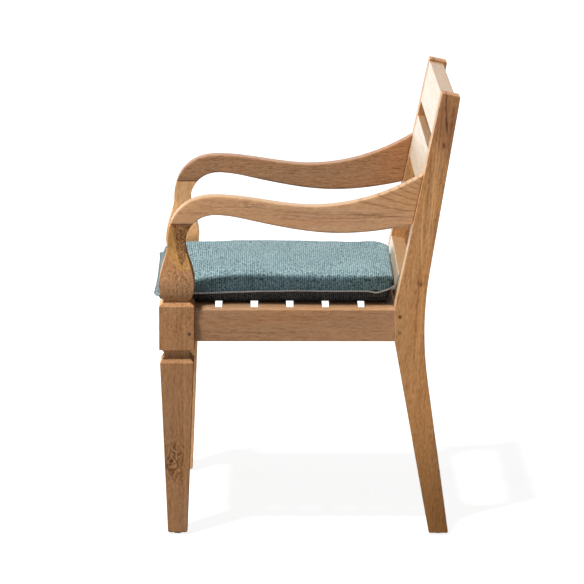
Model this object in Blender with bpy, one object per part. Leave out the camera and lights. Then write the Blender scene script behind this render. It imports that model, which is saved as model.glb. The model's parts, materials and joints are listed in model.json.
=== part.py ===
"""Teak outdoor armchair with a loose seat cushion, in metres.

The chair faces -Y and stands on the plane Z = 0. Left and right are the sitter's: left is +X.
"""

import math

import bmesh
import bpy
from mathutils import Vector

# Fits
GAP = 0.0003                    # clearance between pieces that touch
TENON_WALL = 0.003              # wood left between two tenons that meet inside a leg
QUARTER_CUT = 1 - math.sqrt(0.5)  # share of a quarter round cut away at its middle

# Plan of the frame
CHAIR_WIDTH = 0.580             # over the front leg blocks
FRONT_LEG_Y = -0.2520           # axis of the front legs
SEAT_DEPTH = 0.4270             # front leg axis to the upright front face of the rear leg
SEAT_HEIGHT = 0.4543            # top of the seat rails and slats
EASE = 0.0018                   # rounded edge on sawn wood

# Front leg
BLOCK_WIDTH = 0.069
BLOCK_ABOVE = 0.0097            # top of the square block above the seat
BLOCK_BELOW = 0.0133            # its underside below the rails
COVE_RADIUS = 0.0093            # hollow cut below the block
COVE_NECK = 0.0060              # straight neck under the cove
TAPER_WIDTH = 0.066             # top of the tapered leg
TAPER_DROP = 0.0268             # that top below the block
FOOT_WIDTH = 0.0388
GROOVE_DEPTH = 0.0088           # V groove above the block
GROOVE_NECK = 0.0040
BULB_RISE = 0.0440              # baluster's widest place above the block
NECK_RISE = 0.1250              # slender neck below the arm, above the block
FOOT_ROUND = 0.0035

# Arm
ARM_THICKNESS = 0.035
ARM_JOINT_RISE = 0.0350         # joint of post and arm above the neck
ARM_CREST_SETBACK = 0.0750      # crest of the arm behind the front leg axis
ARM_CREST_RISE = 0.0906         # top of the arm at the crest, above the neck
ARM_CREST_DEPTH = 0.0370        # sawn depth there
ARM_NOSE_POWER = 2.25           # fullness of the rounded nose
ARM_SAG_DROP = 0.0196           # lowest point of the top line below the crest
ARM_SAG_AHEAD = 0.1620          # ahead of the rear leg's front face
ARM_END_TOP_RISE = 0.0434       # where the top line meets the stile, above the crest
ARM_END_TOP_SLOPE = 0.60
ARM_FALL_SETBACK = 0.0900       # steepest place of the underside, behind the crest
ARM_FALL_DROP = 0.0519
ARM_FALL_SLOPE = -0.212
ARM_BELLY_DROP = 0.0724         # lowest point of the underside below the crest
ARM_BELLY_AHEAD = 0.1090
ARM_END_LOW_DROP = 0.0552       # where the underside meets the stile, below the crest
ARM_END_LOW_SLOPE = 0.22
ARM_TENON_THICKNESS = 0.012
ARM_TENON_HEIGHT = 0.050
ARM_TENON_LENGTH = 0.020
ARM_EASE = 0.0030
DOWEL_DIAMETER = 0.012
DOWEL_REACH = 0.020             # length in each piece

# Rear leg
REAR_LEG_THICKNESS = 0.0455
BACK_HEIGHT = 0.8840            # front corner of the stile top
BACK_RAKE = math.radians(11.74)
FOOT_SPLAY = math.radians(10.34)
UPRIGHT_ABOVE = 0.0078          # upright face carried on above the side rail
KNEE_DEPTH = 0.0503             # front face to the meeting point of the two back edges
KNEE_HEIGHT = 0.4240
KNEE_REACH = 0.1100             # length of the bend above and below the knee
STILE_TOP_DEPTH = 0.0362
REAR_FOOT_DEPTH = 0.0386
REAR_LEG_EASE = 0.0025

# Rails and boards
RAIL_THICKNESS = 0.030
RAIL_HEIGHT = 0.0632
REAR_RAIL_THICKNESS = 0.0245
REAR_RAIL_DROP = 0.0060         # top of the rear rail below the seat
REAR_RAIL_SETBACK = 0.0302      # its middle behind the rear leg's front face
TENON_THICKNESS = 0.010
TENON_SHOULDER = 0.004
BOARD_THICKNESS = 0.0292
BOARD_HEIGHT = 0.0865           # top and middle board
BOARD_SETBACK = 0.0006          # face of the boards behind the stile's front edge
LOW_BOARD_HEIGHT = 0.0506
LOW_BOARD_RISE = 0.0067         # front lower edge of the low board above the seat
BOARD_DROP = 0.0045             # top board below the stile top
BOARD_GAP = 0.0295
PEG_DIAMETER = 0.007
PEG_INSET = 0.0098              # peg centre inside the leg's shoulder face
PEG_SPACING = 0.0320
PEG_RISE = 0.0030               # middle of the peg pair above the rail's middle
PEG_PAST = 0.010                # peg beyond the tenon

# Seat
SLAT_COUNT = 6
SLAT_WIDTH = 0.056
SLAT_THICKNESS = 0.018
SLAT_CLEARANCE = 0.0025         # first slat to the front rail
CLEAT_WIDTH = 0.020
CLEAT_HEIGHT = 0.022
SCREW_DIAMETER = 0.004
SCREW_HEAD = 0.008
SCREW_HEAD_HEIGHT = 0.003
SCREW_HEAD_RIM = 0.0005         # straight rim of the head
SCREW_TIP = 0.001               # blunt point
SCREW_LENGTH = 0.032

# Glides
GLIDE_DIAMETER = 0.021
GLIDE_HEIGHT = 0.004
GLIDE_DOME = 0.003              # height of the domed part
GLIDE_FLAT = 0.012              # flat disc that meets the floor
GLIDE_PIN_DIAMETER = 0.005
GLIDE_PIN_LENGTH = 0.016

# Cushion
CUSHION_SIDE_CLEARANCE = 0.0125  # flange to the front leg blocks
CUSHION_BACK_CLEARANCE = 0.0024  # flange to the low back board
CUSHION_OVERHANG = 0.0125        # flange past the front of the legs
CUSHION_CORNER = 0.015
CUSHION_DRAW_IN = 0.0030         # middle of each side drawn in between the corners
SEAM_HEIGHT = 0.0235             # seam above the slats
CUSHION_SIDE_HEIGHT = 0.0292     # upper side wall, seam to top edge
CUSHION_TOP_ROUND = 0.0106       # rounding of the upper side wall into the top
CUSHION_BASE_ROUND = 0.0094      # rounding of the lower side wall into the base
CUSHION_CROWN = 0.0070           # rise of the middle above the top edge
CUSHION_CORNER_DROP = 0.0040     # corners of the top lower than its sides
COVER_THICKNESS = 0.0015
FLANGE_WIDTH = 0.0040            # flange past the side walls
FLANGE_LAP = 0.0030              # flange between the two covers
FLANGE_THICKNESS = 0.0024

# Fineness of the round shapes
CORNER_STEPS = 2
CURVE_STEPS = 12
PEG_SIDES = 14
SCREW_SIDES = 8
DOME_STEPS = 3
SMOOTH_ANGLE = math.radians(35)  # flatter edges than this are shaded smooth
EASE_ANGLE = math.radians(50)    # sharper edges than this are eased
CUSHION_CORNER_STEPS = 3
CUSHION_SIDE_STEPS = 5
CROWN_RINGS = (0.2, 0.5, 0.85)   # rings of the cushion's top, as shares of the way to its middle

# Places that several pieces share
LEG_X = (CHAIR_WIDTH - BLOCK_WIDTH) / 2
BLOCK_HALF = BLOCK_WIDTH / 2
REAR_FACE_Y = FRONT_LEG_Y + SEAT_DEPTH
RAIL_LOW = SEAT_HEIGHT - RAIL_HEIGHT
RAIL_MIDDLE = SEAT_HEIGHT - RAIL_HEIGHT / 2
UPRIGHT_HIGH = SEAT_HEIGHT + UPRIGHT_ABOVE
BLOCK_HIGH = SEAT_HEIGHT + BLOCK_ABOVE
BLOCK_LOW = RAIL_LOW - BLOCK_BELOW
TAPER_HIGH = BLOCK_LOW - TAPER_DROP
BULB_HIGH = BLOCK_HIGH + BULB_RISE
NECK_HIGH = BLOCK_HIGH + NECK_RISE
REAR_RAIL_Y = REAR_FACE_Y + REAR_RAIL_SETBACK
REAR_RAIL_HEIGHT = RAIL_HEIGHT - REAR_RAIL_DROP
ARM_CREST_Y = FRONT_LEG_Y + ARM_CREST_SETBACK
ARM_JOINT = NECK_HIGH + ARM_JOINT_RISE
ARM_CREST = NECK_HIGH + ARM_CREST_RISE
ARM_SAG = ARM_CREST - ARM_SAG_DROP
ARM_FALL = ARM_CREST - ARM_FALL_DROP
ARM_BELLY = ARM_CREST - ARM_BELLY_DROP
ARM_END_TOP = ARM_CREST + ARM_END_TOP_RISE
ARM_END_LOW = ARM_CREST - ARM_END_LOW_DROP
NECK_HALF = ARM_THICKNESS / 2
FOOT_Z = GLIDE_HEIGHT + GAP
FRONT_TENON = BLOCK_HALF - TENON_THICKNESS / 2 - TENON_WALL
REAR_TENON = REAR_RAIL_SETBACK - TENON_THICKNESS / 2 - TENON_WALL
STILE_TENON = REAR_LEG_THICKNESS / 2 - ARM_TENON_THICKNESS / 2 - TENON_WALL
SLAT_UNDERSIDE = SEAT_HEIGHT - SLAT_THICKNESS
RAIL_INNER_X = LEG_X - RAIL_THICKNESS / 2
CLEAT_X = RAIL_INNER_X - GAP - CLEAT_WIDTH / 2
CLEAT_HIGH = SLAT_UNDERSIDE - GAP
CLEAT_LOW = CLEAT_HIGH - CLEAT_HEIGHT
CLEAT_FRONT = FRONT_LEG_Y + BLOCK_HALF + GAP
CLEAT_REAR = REAR_FACE_Y - GAP
SIDES = (("left", 1), ("right", -1))


def clear_scene():
    for old in list(bpy.data.objects):
        bpy.data.objects.remove(old, do_unlink=True)


def material(name, colour, roughness, metallic=0.0):
    finish = bpy.data.materials.new(name)
    finish.use_nodes = True
    shader = finish.node_tree.nodes["Principled BSDF"]
    shader.inputs["Base Color"].default_value = (*colour, 1.0)
    shader.inputs["Roughness"].default_value = roughness
    shader.inputs["Metallic"].default_value = metallic
    return finish


def add_object(name, shape, finish=None, parent=None):
    """Turn a bmesh into a named object; a shape with no finish is a cutter."""
    bmesh.ops.recalc_face_normals(shape, faces=shape.faces)
    mesh = bpy.data.meshes.new(name)
    shape.to_mesh(mesh)
    shape.free()
    mesh.shade_smooth()
    mesh.set_sharp_from_angle(angle=SMOOTH_ANGLE)
    item = bpy.data.objects.new(name, mesh)
    bpy.context.scene.collection.objects.link(item)
    item.parent = parent
    if finish:
        mesh.materials.append(finish)
    else:
        item.hide_render = True
        item.display_type = "WIRE"
    return item


def combine(item, tool, operation):
    step = item.modifiers.new(tool.name, "BOOLEAN")
    step.operation = operation
    step.solver = "EXACT"
    step.object = tool


def rounded_rectangle(centre, size, corner):
    """Points round a rectangle with rounded corners, anticlockwise."""
    points = []
    for quadrant, (side_u, side_v) in enumerate(((1, 1), (-1, 1), (-1, -1), (1, -1))):
        for step in range(CORNER_STEPS + 1):
            angle = (quadrant + step / CORNER_STEPS) * math.pi / 2
            u = centre[0] + side_u * (size[0] / 2 - corner) + corner * math.cos(angle)
            v = centre[1] + side_v * (size[1] / 2 - corner) + corner * math.sin(angle)
            points.append((u, v))
    return points


def circle(centre, radius, sides):
    turn = 2 * math.pi / sides
    return [
        (centre[0] + radius * math.cos(i * turn), centre[1] + radius * math.sin(i * turn))
        for i in range(sides)
    ]


def raised(axis, station, points):
    """Place flat points at a station along the named axis."""
    if axis == "X":
        return [Vector((station, u, v)) for u, v in points]
    if axis == "Y":
        return [Vector((u, station, v)) for u, v in points]
    return [Vector((u, v, station)) for u, v in points]


def add_skin(shape, low, high, split=False):
    """Join two loops of vertices; split makes every skin with the same diagonals."""
    for i in range(len(low)):
        j = (i + 1) % len(low)
        if split:
            shape.faces.new((low[i], low[j], high[j]))
            shape.faces.new((low[i], high[j], high[i]))
        else:
            shape.faces.new((low[i], low[j], high[j], high[i]))


def add_loft(shape, rings, split=False):
    """Add a closed skin over rings that have the same number of points."""
    loops = [[shape.verts.new(point) for point in ring] for ring in rings]
    for low, high in zip(loops, loops[1:]):
        add_skin(shape, low, high, split)
    shape.faces.new(loops[0][::-1])
    shape.faces.new(loops[-1])


def loft(rings, split=False):
    shape = bmesh.new()
    add_loft(shape, rings, split)
    return shape


def add_box(shape, low, high):
    centre = ((low[0] + high[0]) / 2, (low[1] + high[1]) / 2)
    size = (high[0] - low[0], high[1] - low[1])
    corners = [
        (centre[0] + u * size[0] / 2, centre[1] + v * size[1] / 2)
        for u, v in ((-1, -1), (1, -1), (1, 1), (-1, 1))
    ]
    add_loft(shape, [raised("Z", low[2], corners), raised("Z", high[2], corners)])


def add_turned(shape, axis, centre, profile, sides):
    """Add a round piece from (station, radius) pairs along an axis."""
    add_loft(shape, [raised(axis, at, circle(centre, radius, sides)) for at, radius in profile])


def timber(axis, centre, size, low, high, low_tenon=None, high_tenon=None, ease=EASE):
    """A straight piece of wood along an axis, with optional (length, section) tenons."""
    body = rounded_rectangle(centre, size, ease)
    rings = [raised(axis, low, body), raised(axis, high, body)]
    if low_tenon:
        tenon = rounded_rectangle(centre, low_tenon[1], ease / 2)
        rings = [raised(axis, low - low_tenon[0], tenon), raised(axis, low, tenon)] + rings
    if high_tenon:
        tenon = rounded_rectangle(centre, high_tenon[1], ease / 2)
        rings = rings + [raised(axis, high, tenon), raised(axis, high + high_tenon[0], tenon)]
    return loft(rings)


def add_board(shape, outline, low_x, high_x):
    """Add an outline in the YZ plane, extruded across the chair."""
    add_loft(shape, [raised("X", low_x, outline), raised("X", high_x, outline)])


def ease_edges(item, width):
    step = item.modifiers.new("eased edges", "BEVEL")
    step.width = width
    step.segments = 2
    step.limit_method = "ANGLE"
    step.angle_limit = EASE_ANGLE


def smooth_step(t):
    return t * t * (3 - 2 * t)


def hermite(start, start_slope, end, end_slope, t):
    """Point on a smooth curve between two (y, z) points with given slopes."""
    run = end[0] - start[0]
    rise = start[1] + (end[1] - start[1]) * smooth_step(t)
    rise += run * (start_slope * t * (1 - t) ** 2 + end_slope * t * t * (t - 1))
    return (start[0] + run * t, rise)


def stile_front(z):
    """Front edge of the rear leg above the seat."""
    return REAR_FACE_Y + (z - UPRIGHT_HIGH) * math.tan(BACK_RAKE)


def nose_line(z):
    """Front outline of the neck and the arm's nose, from the neck to the crest."""
    rise = (z - NECK_HIGH) / (ARM_CREST - NECK_HIGH)
    reach = (1 - rise ** ARM_NOSE_POWER) ** (1 / ARM_NOSE_POWER)
    return ARM_CREST_Y - (ARM_CREST_SETBACK + NECK_HALF) * reach


def throat_line(z):
    """Rear outline of the neck and the hollow under the arm's nose."""
    rise = (z - NECK_HIGH) / (ARM_CREST - ARM_CREST_DEPTH - NECK_HIGH)
    return ARM_CREST_Y - (ARM_CREST_SETBACK - NECK_HALF) * math.sqrt(1 - rise * rise)


def spread(low, high, steps):
    return [low + (high - low) * i / steps for i in range(steps + 1)]


def front_leg_profile():
    """(height, front y, rear y, half width across) from the foot to the arm joint."""
    half_foot = FOOT_WIDTH / 2
    neck = BLOCK_HALF - COVE_RADIUS
    groove = BLOCK_HALF - GROOVE_DEPTH
    groove_high = BLOCK_HIGH + GROOVE_DEPTH
    bulb_low = groove_high + GROOVE_NECK
    levels = [
        (FOOT_Z, half_foot - FOOT_ROUND),
        (FOOT_Z + FOOT_ROUND * QUARTER_CUT, half_foot - FOOT_ROUND * QUARTER_CUT),
        (FOOT_Z + FOOT_ROUND, half_foot),
        (TAPER_HIGH, TAPER_WIDTH / 2),
        (BLOCK_LOW - COVE_RADIUS - COVE_NECK, neck),
    ]
    for t in spread(0, math.pi / 2, CURVE_STEPS // 2):
        height = BLOCK_LOW - COVE_RADIUS * (1 - math.sin(t))
        levels.append((height, BLOCK_HALF - COVE_RADIUS * math.cos(t)))
    levels += [(BLOCK_HIGH, BLOCK_HALF), (groove_high, groove)]
    for t in spread(0, math.pi / 2, CURVE_STEPS // 2):
        height = bulb_low + (BULB_HIGH - bulb_low) * (1 - math.cos(t))
        levels.append((height, groove + GROOVE_DEPTH * math.sin(t)))
    for t in spread(0, 1, CURVE_STEPS)[1:]:
        height = BULB_HIGH + (NECK_HIGH - BULB_HIGH) * t
        levels.append((height, BLOCK_HALF + (NECK_HALF - BLOCK_HALF) * smooth_step(t)))
    profile = [(z, FRONT_LEG_Y - half, FRONT_LEG_Y + half, half) for z, half in levels]
    for z in spread(NECK_HIGH, ARM_JOINT - GAP, CURVE_STEPS // 2)[1:]:
        profile.append((z, nose_line(z), throat_line(z), NECK_HALF))
    return profile


def front_leg_shape(x):
    rings = []
    for z, front, rear, half in front_leg_profile():
        section = rounded_rectangle((x, (front + rear) / 2), (2 * half, rear - front), EASE)
        rings.append(raised("Z", z, section))
    return loft(rings)


def arm_outline():
    """Side outline of the arm, from the joint over the nose to the stile and back."""
    crest_low = ARM_CREST - ARM_CREST_DEPTH
    nose = [
        (nose_line(z), z)
        for z in (
            ARM_JOINT + (ARM_CREST - ARM_JOINT) * math.sin(t)
            for t in spread(0, math.pi / 2, CURVE_STEPS)
        )
    ]
    crest = (ARM_CREST_Y, ARM_CREST)
    sag = (REAR_FACE_Y - ARM_SAG_AHEAD, ARM_SAG)
    top_end = (stile_front(ARM_END_TOP) - GAP, ARM_END_TOP)
    low_end = (stile_front(ARM_END_LOW) - GAP, ARM_END_LOW)
    belly = (REAR_FACE_Y - ARM_BELLY_AHEAD, ARM_BELLY)
    fall = (ARM_CREST_Y + ARM_FALL_SETBACK, ARM_FALL)
    throat_crest = (ARM_CREST_Y, crest_low)
    steps = spread(0, 1, CURVE_STEPS)
    top = [hermite(crest, 0, sag, 0, t) for t in steps[1:]]
    top += [hermite(sag, 0, top_end, ARM_END_TOP_SLOPE, t) for t in steps[1:]]
    under = [hermite(low_end, ARM_END_LOW_SLOPE, belly, 0, t) for t in steps]
    under += [hermite(belly, 0, fall, ARM_FALL_SLOPE, t) for t in steps[1:]]
    under += [hermite(fall, ARM_FALL_SLOPE, throat_crest, 0, t) for t in steps[1:]]
    throat = [
        (throat_line(z), z)
        for z in (
            crest_low + (ARM_JOINT - crest_low) * (1 - math.cos(t))
            for t in spread(0, math.pi / 2, CURVE_STEPS // 2)[1:]
        )
    ]
    return nose + top + under + throat


def rear_leg_outline():
    """Side outline of the rear leg: front edge up, top cut square to the stile, back edge down."""
    top_front = (stile_front(BACK_HEIGHT), BACK_HEIGHT)
    top_rear = (
        top_front[0] + STILE_TOP_DEPTH,
        BACK_HEIGHT - STILE_TOP_DEPTH * math.tan(BACK_RAKE),
    )
    foot_front = (REAR_FACE_Y + (RAIL_LOW - FOOT_Z) * math.tan(FOOT_SPLAY), FOOT_Z)
    foot_rear = (foot_front[0] + REAR_FOOT_DEPTH, FOOT_Z)
    knee = Vector((REAR_FACE_Y + KNEE_DEPTH, KNEE_HEIGHT))
    upper = Vector(top_rear) - knee
    lower = Vector(foot_rear) - knee
    bend_high = knee + upper * (KNEE_REACH / upper.y)
    bend_low = knee - lower * (KNEE_REACH / lower.y)
    bend = []
    for t in spread(0, 1, CURVE_STEPS):
        bend.append((1 - t) ** 2 * bend_high + 2 * t * (1 - t) * knee + t * t * bend_low)
    return [
        foot_front,
        (REAR_FACE_Y, RAIL_LOW),
        (REAR_FACE_Y, UPRIGHT_HIGH),
        top_front,
        top_rear,
        *(tuple(point) for point in bend),
        foot_rear,
    ]


def rear_foot_y():
    """Middle of the rear foot."""
    return REAR_FACE_Y + (RAIL_LOW - FOOT_Z) * math.tan(FOOT_SPLAY) + REAR_FOOT_DEPTH / 2


def tenon_section(thickness, height):
    return (thickness, height - 2 * TENON_SHOULDER)


def add_mortise(shape, low, high):
    """A pocket for a tenon that fills the box from low to high."""
    add_box(shape, [value - GAP for value in low], [value + GAP for value in high])


def peg_places(face_y, direction):
    """(y, z) of the two pegs inside a shoulder face; direction points into the leg."""
    y = face_y + direction * PEG_INSET
    middle = RAIL_MIDDLE + PEG_RISE
    return {"low": (y, middle - PEG_SPACING / 2), "high": (y, middle + PEG_SPACING / 2)}


def peg_shape(side, places, leg_half, clearance=0.0):
    """Pegs from a leg's outer face through the tenon; a clearance makes them the drill."""
    shape = bmesh.new()
    outer = LEG_X + leg_half + (REAR_LEG_EASE if clearance else 0)
    inner = LEG_X - TENON_THICKNESS / 2 - PEG_PAST - clearance
    radius = PEG_DIAMETER / 2 + clearance
    for place in places:
        add_turned(shape, "X", place, [(side * inner, radius), (side * outer, radius)], PEG_SIDES)
    return shape


def build_pegs(end, side_name, side, places, leg, leg_half, peg_wood):
    """Drill a leg for its two pegs and add them; returns the drill for the rail."""
    drill_shape = peg_shape(side, places.values(), leg_half, GAP)
    drill = add_object(f"peg_drill_{end}_{side_name}", drill_shape)
    combine(leg, drill, "DIFFERENCE")
    for level, place in places.items():
        add_object(f"peg_{end}_{side_name}_{level}", peg_shape(side, [place], leg_half), peg_wood)
    return drill


def screw_profile(start, direction, clearance=0.0):
    """Countersunk screw from its head's face; a clearance makes it the drill."""
    shank = SCREW_DIAMETER / 2 + clearance
    head = SCREW_HEAD / 2 + clearance
    point = SCREW_DIAMETER
    stations = [
        (-clearance, head),
        (clearance, head),
        (SCREW_HEAD_HEIGHT, shank),
        (SCREW_LENGTH - point, shank),
        (SCREW_LENGTH + clearance, SCREW_TIP / 2 + clearance),
    ]
    if not clearance:
        stations[1] = (SCREW_HEAD_RIM, head)
    return [(start + direction * at, radius) for at, radius in stations]


def slat_middles():
    """Y of each slat, spread evenly from the front rail to the rear legs."""
    front = FRONT_LEG_Y + RAIL_THICKNESS / 2 + SLAT_CLEARANCE + SLAT_WIDTH / 2
    rear = REAR_FACE_Y - GAP - SLAT_WIDTH / 2
    return spread(front, rear, SLAT_COUNT - 1)


def add_slat_screw(shape, y, side, clearance=0.0):
    """Screw up through a cleat into the end of a slat."""
    place = (side * CLEAT_X, max(y, CLEAT_FRONT + SCREW_HEAD))
    add_turned(shape, "Z", place, screw_profile(CLEAT_LOW, 1, clearance), SCREW_SIDES)


def add_cleat_screw(shape, y, side, clearance=0.0):
    """Screw through a cleat into the side rail."""
    face = side * (CLEAT_X - CLEAT_WIDTH / 2)
    place = (y, (CLEAT_LOW + CLEAT_HIGH) / 2)
    add_turned(shape, "X", place, screw_profile(face, side, clearance), SCREW_SIDES)


def cleat_screw_places():
    """Y of the cleat screws: under the first and the last gap between the slats."""
    middles = slat_middles()
    return [(middles[0] + middles[1]) / 2, (middles[-2] + middles[-1]) / 2]


def screw_drill(name, add_screw, places):
    shape = bmesh.new()
    for y in places:
        for _, side in SIDES:
            add_screw(shape, y, side, GAP)
    return add_object(name, shape)


def build_screws(name, add_screw, places, steel):
    for number, y in enumerate(places, start=1):
        for side_name, side in SIDES:
            shape = bmesh.new()
            add_screw(shape, y, side)
            add_object(f"{name}_{side_name}_{number}", shape, steel)


def glide_shape(x, y):
    shape = bmesh.new()
    radius = GLIDE_DIAMETER / 2
    pin = GLIDE_PIN_DIAMETER / 2
    pin_high = GLIDE_HEIGHT + GLIDE_PIN_LENGTH
    flat = GLIDE_FLAT / 2
    dome = [
        (GLIDE_DOME * (1 - math.cos(t)), flat + (radius - flat) * math.sin(t))
        for t in spread(0, math.pi / 2, DOME_STEPS)
    ]
    profile = dome + [(GLIDE_HEIGHT, radius), (GLIDE_HEIGHT, pin), (pin_high, pin)]
    add_turned(shape, "Z", (x, y), profile, PEG_SIDES)
    return shape


def add_pin_hole(shape, x, y):
    profile = [
        (FOOT_Z - GLIDE_HEIGHT / 2, GLIDE_PIN_DIAMETER / 2 + GAP),
        (GLIDE_HEIGHT + GLIDE_PIN_LENGTH + GAP, GLIDE_PIN_DIAMETER / 2 + GAP),
    ]
    add_turned(shape, "Z", (x, y), profile, PEG_SIDES)


def dowel_y():
    """Middle of the joint between the post and the arm."""
    return (nose_line(ARM_JOINT) + throat_line(ARM_JOINT)) / 2


def dowel_shape(x, clearance=0.0):
    shape = bmesh.new()
    radius = DOWEL_DIAMETER / 2 + clearance
    reach = DOWEL_REACH + clearance
    profile = [(ARM_JOINT - reach, radius), (ARM_JOINT + reach, radius)]
    add_turned(shape, "Z", (x, dowel_y()), profile, PEG_SIDES)
    return shape


def build_front_legs(wood, peg_wood, drills):
    rail_tenon = tenon_section(TENON_THICKNESS, RAIL_HEIGHT)
    half_high = rail_tenon[1] / 2
    rear_face = FRONT_LEG_Y + BLOCK_HALF
    places = peg_places(rear_face, -1)
    for name, side in SIDES:
        x = side * LEG_X
        leg = add_object(f"front_leg_{name}", front_leg_shape(x), wood)
        pockets = bmesh.new()
        add_mortise(
            pockets,
            (x - TENON_THICKNESS / 2, rear_face - FRONT_TENON, RAIL_MIDDLE - half_high),
            (x + TENON_THICKNESS / 2, rear_face + EASE, RAIL_MIDDLE + half_high),
        )
        inner_face = LEG_X - BLOCK_HALF
        inner = sorted((side * (inner_face - EASE), side * (inner_face + FRONT_TENON)))
        add_mortise(
            pockets,
            (inner[0], FRONT_LEG_Y - TENON_THICKNESS / 2, RAIL_MIDDLE - half_high),
            (inner[1], FRONT_LEG_Y + TENON_THICKNESS / 2, RAIL_MIDDLE + half_high),
        )
        add_pin_hole(pockets, x, FRONT_LEG_Y)
        combine(leg, add_object(f"front_leg_pockets_{name}", pockets), "DIFFERENCE")
        drills[name].append(build_pegs("front", name, side, places, leg, BLOCK_HALF, peg_wood))
        dowel_drill = add_object(f"dowel_drill_{name}", dowel_shape(x, GAP))
        combine(leg, dowel_drill, "DIFFERENCE")
        add_object(f"arm_dowel_{name}", dowel_shape(x), peg_wood)


def build_rear_legs(wood, peg_wood, drills):
    rail_tenon = tenon_section(TENON_THICKNESS, RAIL_HEIGHT)
    rear_tenon = tenon_section(TENON_THICKNESS, REAR_RAIL_HEIGHT)
    rear_middle = RAIL_LOW + REAR_RAIL_HEIGHT / 2
    half = REAR_LEG_THICKNESS / 2
    places = peg_places(REAR_FACE_Y, 1)
    for name, side in SIDES:
        x = side * LEG_X
        shape = bmesh.new()
        add_board(shape, rear_leg_outline(), x - half, x + half)
        leg = add_object(f"rear_leg_{name}", shape, wood)
        ease_edges(leg, REAR_LEG_EASE)
        pockets = bmesh.new()
        add_mortise(
            pockets,
            (x - TENON_THICKNESS / 2, REAR_FACE_Y - REAR_LEG_EASE, RAIL_MIDDLE - rail_tenon[1] / 2),
            (x + TENON_THICKNESS / 2, REAR_FACE_Y + REAR_TENON, RAIL_MIDDLE + rail_tenon[1] / 2),
        )
        inner_face = LEG_X - half
        inner = sorted((side * (inner_face - REAR_LEG_EASE), side * (inner_face + STILE_TENON)))
        add_mortise(
            pockets,
            (inner[0], REAR_RAIL_Y - TENON_THICKNESS / 2, rear_middle - rear_tenon[1] / 2),
            (inner[1], REAR_RAIL_Y + TENON_THICKNESS / 2, rear_middle + rear_tenon[1] / 2),
        )
        add_mortise(pockets, *arm_tenon_box(x))
        add_pin_hole(pockets, x, rear_foot_y())
        combine(leg, add_object(f"rear_leg_pockets_{name}", pockets), "DIFFERENCE")
        drills[name].append(build_pegs("rear", name, side, places, leg, half, peg_wood))


def arm_tenon_box(x):
    """Corners of the arm's rear tenon, from inside the arm to its end in the stile."""
    middle = (ARM_END_TOP + ARM_END_LOW) / 2
    low = middle - ARM_TENON_HEIGHT / 2
    high = middle + ARM_TENON_HEIGHT / 2
    return (
        (x - ARM_TENON_THICKNESS / 2, stile_front(low) - ARM_TENON_LENGTH / 2, low),
        (x + ARM_TENON_THICKNESS / 2, stile_front(middle) + ARM_TENON_LENGTH, high),
    )


def build_arms(wood):
    for name, side in SIDES:
        x = side * LEG_X
        shape = bmesh.new()
        add_board(shape, arm_outline(), x - ARM_THICKNESS / 2, x + ARM_THICKNESS / 2)
        arm = add_object(f"arm_{name}", shape, wood)
        ease_edges(arm, ARM_EASE)
        tenon = bmesh.new()
        add_box(tenon, *arm_tenon_box(x))
        combine(arm, add_object(f"arm_tenon_{name}", tenon), "UNION")
        combine(arm, bpy.data.objects[f"dowel_drill_{name}"], "DIFFERENCE")


def build_rails(wood, drills, cleat_drill):
    tenon = tenon_section(TENON_THICKNESS, RAIL_HEIGHT)
    section = (RAIL_THICKNESS, RAIL_HEIGHT)
    front = FRONT_LEG_Y + BLOCK_HALF + GAP
    for name, side in SIDES:
        shape = timber(
            "Y", (side * LEG_X, RAIL_MIDDLE), section, front, REAR_FACE_Y - GAP,
            (FRONT_TENON, tenon), (REAR_TENON, tenon),
        )
        rail = add_object(f"seat_rail_{name}", shape, wood)
        for drill in drills[name] + [cleat_drill]:
            combine(rail, drill, "DIFFERENCE")
    inner = LEG_X - BLOCK_HALF - GAP
    shape = timber(
        "X", (FRONT_LEG_Y, RAIL_MIDDLE), section, -inner, inner,
        (FRONT_TENON, tenon), (FRONT_TENON, tenon),
    )
    add_object("seat_rail_front", shape, wood)
    inner = LEG_X - REAR_LEG_THICKNESS / 2 - GAP
    place = (REAR_RAIL_Y, RAIL_LOW + REAR_RAIL_HEIGHT / 2)
    section = (REAR_RAIL_THICKNESS, REAR_RAIL_HEIGHT)
    tenon = tenon_section(TENON_THICKNESS, REAR_RAIL_HEIGHT)
    shape = timber("X", place, section, -inner, inner, (STILE_TENON, tenon), (STILE_TENON, tenon))
    add_object("seat_rail_rear", shape, wood)


def build_back_boards(wood):
    """Boards let in between the stiles, tilted with them and level with their front edges."""
    inner = LEG_X - REAR_LEG_THICKNESS / 2 - GAP
    upright = math.cos(BACK_RAKE)
    top_middle = BACK_HEIGHT - (BOARD_DROP + BOARD_HEIGHT / 2) * upright
    boards = (
        ("top", BOARD_HEIGHT, top_middle),
        ("middle", BOARD_HEIGHT, top_middle - (BOARD_HEIGHT + BOARD_GAP) * upright),
        ("low", LOW_BOARD_HEIGHT, SEAT_HEIGHT + LOW_BOARD_RISE + LOW_BOARD_HEIGHT / 2 * upright),
    )
    centre = (BOARD_SETBACK + BOARD_THICKNESS / 2, 0)
    for name, height, middle_z in boards:
        tenon = tenon_section(TENON_THICKNESS, height)
        pocket = (tenon[0] + 2 * GAP, tenon[1] + 2 * GAP)
        shape = timber(
            "X", centre, (BOARD_THICKNESS, height), -inner, inner,
            (STILE_TENON, tenon), (STILE_TENON, tenon),
        )
        board = add_object(f"back_board_{name}", shape, wood)
        reach = inner + STILE_TENON + GAP
        pocket_shape = timber("X", centre, pocket, -reach, reach, ease=EASE / 4)
        drill = add_object(f"board_pockets_{name}", pocket_shape)
        for item in (board, drill):
            item.location = (0, stile_front(middle_z), middle_z)
            item.rotation_euler = (-BACK_RAKE, 0, 0)
        for side_name, _ in SIDES:
            combine(bpy.data.objects[f"rear_leg_{side_name}"], drill, "DIFFERENCE")


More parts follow.
